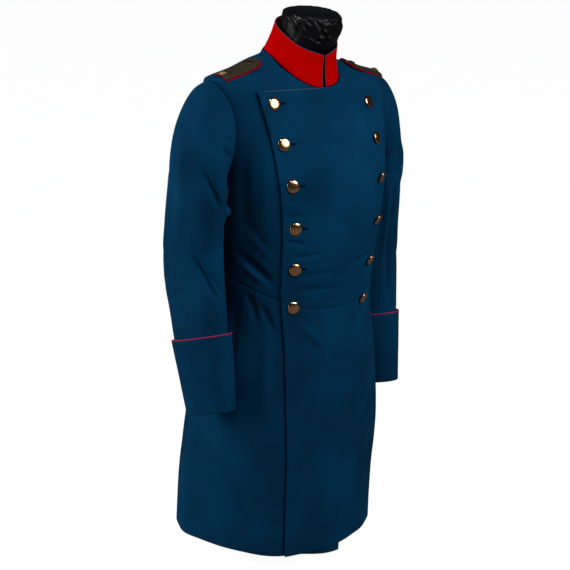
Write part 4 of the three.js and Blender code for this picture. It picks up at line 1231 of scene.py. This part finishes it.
# how far the pip's sides lie from its middle, and their height
PIP_RINGS = ((5.6, 0), (5.9, 0.35), (5.8, 0.9), (4.8, 1.3), (4.3, 1.35), (1.4, 3.4))
board, board_underlay, board_button, board_pip = {}, {}, {}, {}
for word, side in (("right", -1), ("left", 1)):
    underlay_top = BOARD["underlay"]
    braid_low = underlay_top + 0.2
    braid_top = braid_low + BOARD["braid"]
    board_underlay[side] = board_plate(f"board_underlay_{word}_cloth", side, 0, 0, underlay_top)
    board[side] = board_plate(f"board_{word}_braid", side, BOARD["margin"], braid_low, braid_top, 4)
    _, upward = board_ways(side, 0.2, 0.3)
    seat = board_spot(side, BOARD["button"], 0, braid_top)
    board_button[side] = lathe(
        f"board_button_{word}_metal", button_profile(BOARD_BUTTON_RADIUS), seat, upward, 36
    )
    lengthwise, upward = board_ways(side, 0.85, 0.95)
    a, b = unit(lengthwise), unit(np.cross(upward, lengthwise))
    seat = board_spot(side, BOARD["pip"], 0, braid_top + 0.1)
    rings = []
    for reach, height in PIP_RINGS:
        corners = ((-reach, -reach), (reach, -reach), (reach, reach), (-reach, reach))
        rings += [seat + a * u + b * v + upward * height for u, v in corners]
    pip_faces = [[3, 2, 1, 0], [20, 21, 22, 23]]
    for low in range(0, 4 * len(PIP_RINGS) - 4, 4):
        for c, d in ((0, 1), (1, 2), (2, 3), (3, 0)):
            pip_faces.append([low + c, low + d, low + 4 + d, low + 4 + c])
    board_pip[side] = solid(f"board_pip_{word}_metal", np.array(rings), pip_faces)
    board_pip[side].data.shade_flat()

# ---------------------------------------------------------------- buttons and buttonholes

# How far each button leans out to the wearer's left and down, hanging on its shank, from the top one.
BUTTON_HANG = {
    "right": ((0, 0), (0.02, 0), (0, 0.02), (-0.02, 0.04), (0.02, 0.05), (0, 0.03)),
    "left": ((0.06, 0.02), (0.2, 0.08), (0.14, 0.5), (0.14, 0.56), (0.12, 0.52), (0.14, 0.46)),
}

def on_over_front(deg, z, out):
    return on_body(deg, z, over_face(deg, z) + body_relief(deg, z) + out)


front_buttons = {}
for number, (height, right_x, left_x) in enumerate(BUTTONS, 1):
    for word, x in (("right", right_x), ("left", left_x)):
        z = np.array(float(height))
        deg = bearing_of(x, z)
        ring = [on_over_front(deg + a, z + b, 0) for a, b in ((2.4, 0), (-2.4, 0), (0, 7), (0, -7))]
        facing = unit(np.cross(ring[0] - ring[1], ring[2] - ring[3]))
        out, down = BUTTON_HANG[word][number - 1]
        facing = unit(facing + np.array((out, 0, -down)))
        seat = on_over_front(deg, z, 0.9 + 7 * math.hypot(out, down))
        front_buttons[(word, number)] = lathe(
            f"button_{word}_{number}_metal", button_profile(BUTTON_RADIUS), seat, facing
        )


HOLE_LENGTH = 23  # from the button's middle to the far end of its hole


def buttonhole(name, height, x):
    """The worked edge of a hole, a narrow stitched loop on the over front, near-black as painted shade.
    """
    turn = np.linspace(0, 2 * np.pi, 40, endpoint=False)
    start = np.array(bearing_of(x, np.array(float(height))))
    reach = HOLE_LENGTH / 2 / PER_DEGREE
    stretch = np.sign(np.cos(turn)) * np.abs(np.cos(turn)) ** 0.35
    deg = start + reach + stretch * reach
    z = height + 1.3 * np.sin(turn) + 0 * deg
    path = on_over_front(deg, z, 0.25 + 0 * deg)
    return tube(name, path, 1.0, 6, True)


buttonholes = [buttonhole(f"buttonhole_{n}", row[0], row[1]) for n, row in enumerate(BUTTONS[:5], 1)]

# the lapel's top edge: a lighter cord as painted highlight, lightening the shade under the step
edge_run = np.linspace(0.06, 0.98, 60)
edge_z = LAPEL_TOP + 0 * edge_run - 0.6
edge_deg = mix(over_edge(edge_z), 0, edge_run)
lapel_highlight_thread = tube("lapel_edge_highlight_thread", on_over_front(edge_deg, edge_z, -0.35 + 0 * edge_deg), 0.7, 6)

# ---------------------------------------------------------------- dress form and stand

NECK_PER_DEGREE = 0.98
form_curves = [through(FORM, k) for k in range(1, 6)]


def form_point(deg, z):
    half, mid, front, behind, lift = (curve(z) for curve in form_curves)
    sin, cos = sin_cos(deg)
    forward = np.where(cos >= 0, front, behind) * cos
    return np.stack([half * sin, mid - forward, z + forward * np.sin(np.radians(lift))], -1)


def dress_form():
    """The torso and its neck, covered with thin cloth that gathers in small creases at the neck."""
    low, high = FORM[0, 0], FORM[-1, 0]
    levels = np.concatenate([
        [low, low + 1, low + 2.5, low + 4], np.linspace(low + 8, 1000, 110),
        np.linspace(1002, high - 3, 60), [high - 2, high - 1, high],
    ])
    z, deg = grid_of(levels, np.arange(-180, 180, 2.5))
    point = form_point(deg, z)
    across = form_point(deg + 1, z) - form_point(deg - 1, z)
    up = form_point(deg, np.minimum(z + 0.5, high)) - form_point(deg, np.maximum(z - 0.5, low))
    normal = unit(np.cross(across, up))
    relief = 1.15 * folded(NECK_FOLDS, deg, z, NECK_PER_DEGREE)
    ripple = 0.5 * np.sin(np.radians(13 * deg) + z / 6) * smooth((z - 1050) / 30)
    ripple += 0.35 * np.sin(np.radians(21 * deg) - z / 9 + 1) * smooth((z - 1020) / 30)
    fade = smooth((z - 1010) / 20) * (1 - 0.6 * smooth((z - 1084) / 7))
    point = point + normal * ((relief + ripple) * fade)[..., None]
    rows, columns = point.shape[:2]
    points = [*point.reshape(-1, 3), point[0].mean(0), point[-1].mean(0) + (0, 0, 0.4)]
    faces = []
    for r in range(rows - 1):
        for c in range(columns):
            d = (c + 1) % columns
            low, high = r * columns, (r + 1) * columns
            faces.append([low + c, low + d, high + d, high + c])
    foot, crown = rows * columns, rows * columns + 1
    for c in range(columns):
        d = (c + 1) % columns
        faces.append([d, c, foot])
        faces.append([(rows - 1) * columns + c, (rows - 1) * columns + d, crown])
    return solid("dress_form", np.array(points), faces)


form = dress_form()
base_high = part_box("stand_base")[1]
post_low, post_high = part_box("stand_post")
base_radius, base_height = base_high.x / MM, base_high.z / MM
post_radius, post_foot, post_top = post_high.x / MM, post_low.z / MM, post_high.z / MM
base_profile = [
    (0, 0), (base_radius - 2, 0), (base_radius - 0.6, 0.6), (base_radius, 2), (base_radius - 1, 6),
    (base_radius - 3, 9.5), (base_radius - 6, 11.4), (base_radius - 10, base_height), (30, base_height),
    (0, base_height),
]
base = lathe("stand_base_disc", base_profile, np.zeros(3), (0, 0, 1), 128)
post_profile = [
    (0, 0), (post_radius - 0.8, 0), (post_radius, 0.8), (post_radius, 14), (post_radius - 0.6, 15.2),
    (post_radius - 2.2, 16), (post_radius - 2.2, post_top - post_foot - 16),
    (post_radius - 0.6, post_top - post_foot - 15.2), (post_radius, post_top - post_foot - 14),
    (post_radius, post_top - post_foot - 0.8), (post_radius - 0.8, post_top - post_foot),
    (0, post_top - post_foot),
]
post = lathe("stand_post_tube", post_profile, np.array((0, 0, post_foot)), (0, 0, 1), 64)

# ---------------------------------------------------------------- what each piece stands for

for piece in (forepart_left, forepart_right, skirt_left, skirt_right):
    finish(piece, wool, "wool", piece.name.removesuffix("_cloth"))
for word, side in (("right", -1), ("left", 1)):
    finish(side_body[side], wool, "wool", f"side_body_{word}")
    finish(back[side], wool, "wool", f"back_{word}")
    finish(top_sleeve[side], wool, "wool", f"top_sleeve_{word}")
    finish(under_sleeve[side], wool, "wool", f"under_sleeve_{word}")
    finish(cuff[side], wool, "wool", f"cuff_{word}")
    finish(cuff_piping[side], crimson_cord, "cuff_piping", f"cuff_piping_{word}")
    finish(board_underlay[side], board_red, "red_cloth", f"board_underlay_{word}")
    finish(board[side], braid, "braid", f"board_{word}")
    finish(board_button[side], shaded_copper, "copper", f"board_button_{word}")
    finish(board_pip[side], gilt, "gilt", f"board_pip_{word}")
finish(collar, red_wool, "red_cloth", "collar")
finish(collar_piping, collar_cord, "collar_piping", "collar_piping")
for (word, number), piece in front_buttons.items():
    finish(piece, copper, "copper", f"button_{word}_{number}")
for piece in buttonholes:
    finish(piece, buttonhole_shade_thread, "wool")
finish(lapel_highlight_thread, edge_highlight_thread, "collar_piping")
finish(form, black_cloth, "form_cloth", "form_torso")
finish(post, stand_paint, "stand_metal", "stand_post")
finish(base, stand_paint, "stand_metal", "stand_base")

# ---------------------------------------------------------------- how the cloth was cut, listed only: cut() does nothing with it


def cut(piece, held, rests_on, with_pieces=()):
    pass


sewn_on = [*front_buttons.values(), *buttonholes, lapel_highlight_thread]
cut(forepart_left, "draped", [form, forepart_right], sewn_on)
cut(forepart_right, "draped", [form])
cut(skirt_left, "hung", [forepart_left, side_body[1], back[1]])
cut(skirt_right, "hung", [forepart_right, side_body[-1], back[-1]])
for side, forepart in ((-1, forepart_right), (1, forepart_left)):
    cut(side_body[side], "draped", [form])
    cut(back[side], "draped", [form])
    cut(top_sleeve[side], "hung", [forepart, back[side]])
    cut(under_sleeve[side], "hung", [forepart, side_body[side], back[side]])
    cut(cuff[side], "folded", [top_sleeve[side], under_sleeve[side]], [cuff_piping[side]])
    on_board = [board[side], board_button[side], board_pip[side]]
    cut(board_underlay[side], "laid", [forepart, back[side]], on_board)
cut(collar, "folded", [forepart_left, forepart_right, back[-1], back[1]], [collar_piping])

# ---------------------------------------------------------------- stage, light and camera

scene = bpy.context.scene
scene.view_settings.view_transform = "Standard"
scene.view_settings.look = "None"

FLOOR_REACH, FLOOR_GREY, FLOOR_SEEN = 30.0, 0.12, 0.96  # seen: how bright the camera sees it
floor_mesh = bpy.data.meshes.new("floor")
corners = [(x * FLOOR_REACH, y * FLOOR_REACH, 0) for x, y in ((-1, -1), (1, -1), (1, 1), (-1, 1))]
floor_mesh.from_pydata(corners, [], [(0, 1, 2, 3)])
floor = bpy.data.objects.new("floor", floor_mesh)
scene.collection.objects.link(floor)
floor_paint, tree, shader = material("floor_paint", (FLOOR_GREY,) * 3, 0.9, specular=0.1)
floor_mesh.materials.append(floor_paint)
shader.inputs["Emission Color"].default_value = (1, 1, 1, 1)
ray = tree.nodes.new("ShaderNodeLightPath")
glow = tree.nodes.new("ShaderNodeMapRange")
glow.inputs["To Max"].default_value = FLOOR_SEEN
tree.links.new(ray.outputs["Is Camera Ray"], glow.inputs["Value"])
tree.links.new(glow.outputs["Result"], shader.inputs["Emission Strength"])
floor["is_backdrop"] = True

# The world is white to the camera, dim as a light and dimmer still in reflections.
WORLD_LIGHT, WORLD_REFLECTED = 0.22, 0.03
world = bpy.data.worlds.new("studio")
scene.world = world
world.use_nodes = True
nodes, links = world.node_tree.nodes, world.node_tree.links
sky = nodes["Background"]
sky.inputs["Color"].default_value = (0.9, 0.95, 1, 1)
backdrop = nodes.new("ShaderNodeBackground")
backdrop.inputs["Color"].default_value = (1, 1, 1, 1)
seen = nodes.new("ShaderNodeLightPath")
either = nodes.new("ShaderNodeMixShader")
links.new(seen.outputs["Is Camera Ray"], either.inputs["Fac"])
dimmed = nodes.new("ShaderNodeMapRange")
dimmed.inputs["To Min"].default_value = WORLD_LIGHT
dimmed.inputs["To Max"].default_value = WORLD_REFLECTED
links.new(seen.outputs["Is Glossy Ray"], dimmed.inputs["Value"])
links.new(dimmed.outputs["Result"], sky.inputs["Strength"])
links.new(sky.outputs["Background"], either.inputs[1])
links.new(backdrop.outputs["Background"], either.inputs[2])
links.new(either.outputs["Shader"], nodes["World Output"].inputs["Surface"])


def place(made, azimuth, elevation, distance, aim):
    """Put a lamp or the camera. Azimuth 0 is in front of the coat and 90 on its wearer's left."""
    a, e = math.radians(azimuth), math.radians(elevation)
    away = Vector((math.sin(a) * math.cos(e), -math.cos(a) * math.cos(e), math.sin(e)))
    made.location = Vector(aim) + away * distance
    made.rotation_mode = "QUATERNION"
    made.rotation_quaternion = away.to_track_quat("Z", "Y")
    scene.collection.objects.link(made)


# name, azimuth, elevation, distance, width, height, power, what it is aimed at
LAMPS = (
    ("key", 8, 27, 2.7, 1.8, 2.0, 70, (0, -0.03, 0.9)),
    ("side", -116, 18, 3.0, 1.2, 2.4, 90, (0, -0.03, 0.62)),
    ("top", -46, 62, 3.0, 0.7, 0.7, 12, (0, -0.03, 0.62)),
)
for name, azimuth, elevation, distance, width, height, power, aim in LAMPS:
    light = bpy.data.lights.new(name, "AREA")
    light.shape = "ELLIPSE"
    light.size, light.size_y = width, height
    light.energy = power
    place(bpy.data.objects.new(name, light), azimuth, elevation, distance, aim)

camera_data = bpy.data.cameras.new("camera")
camera_data.sensor_width = 36
camera_data.lens = 126.3
camera_data.clip_end = 100
camera = bpy.data.objects.new("camera", camera_data)
place(camera, -38.0, 11.5, 4.0, (0.0028, -0.0222, 0.538))
scene.camera = camera

corners = {"cad": cad_box, "visual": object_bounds()}
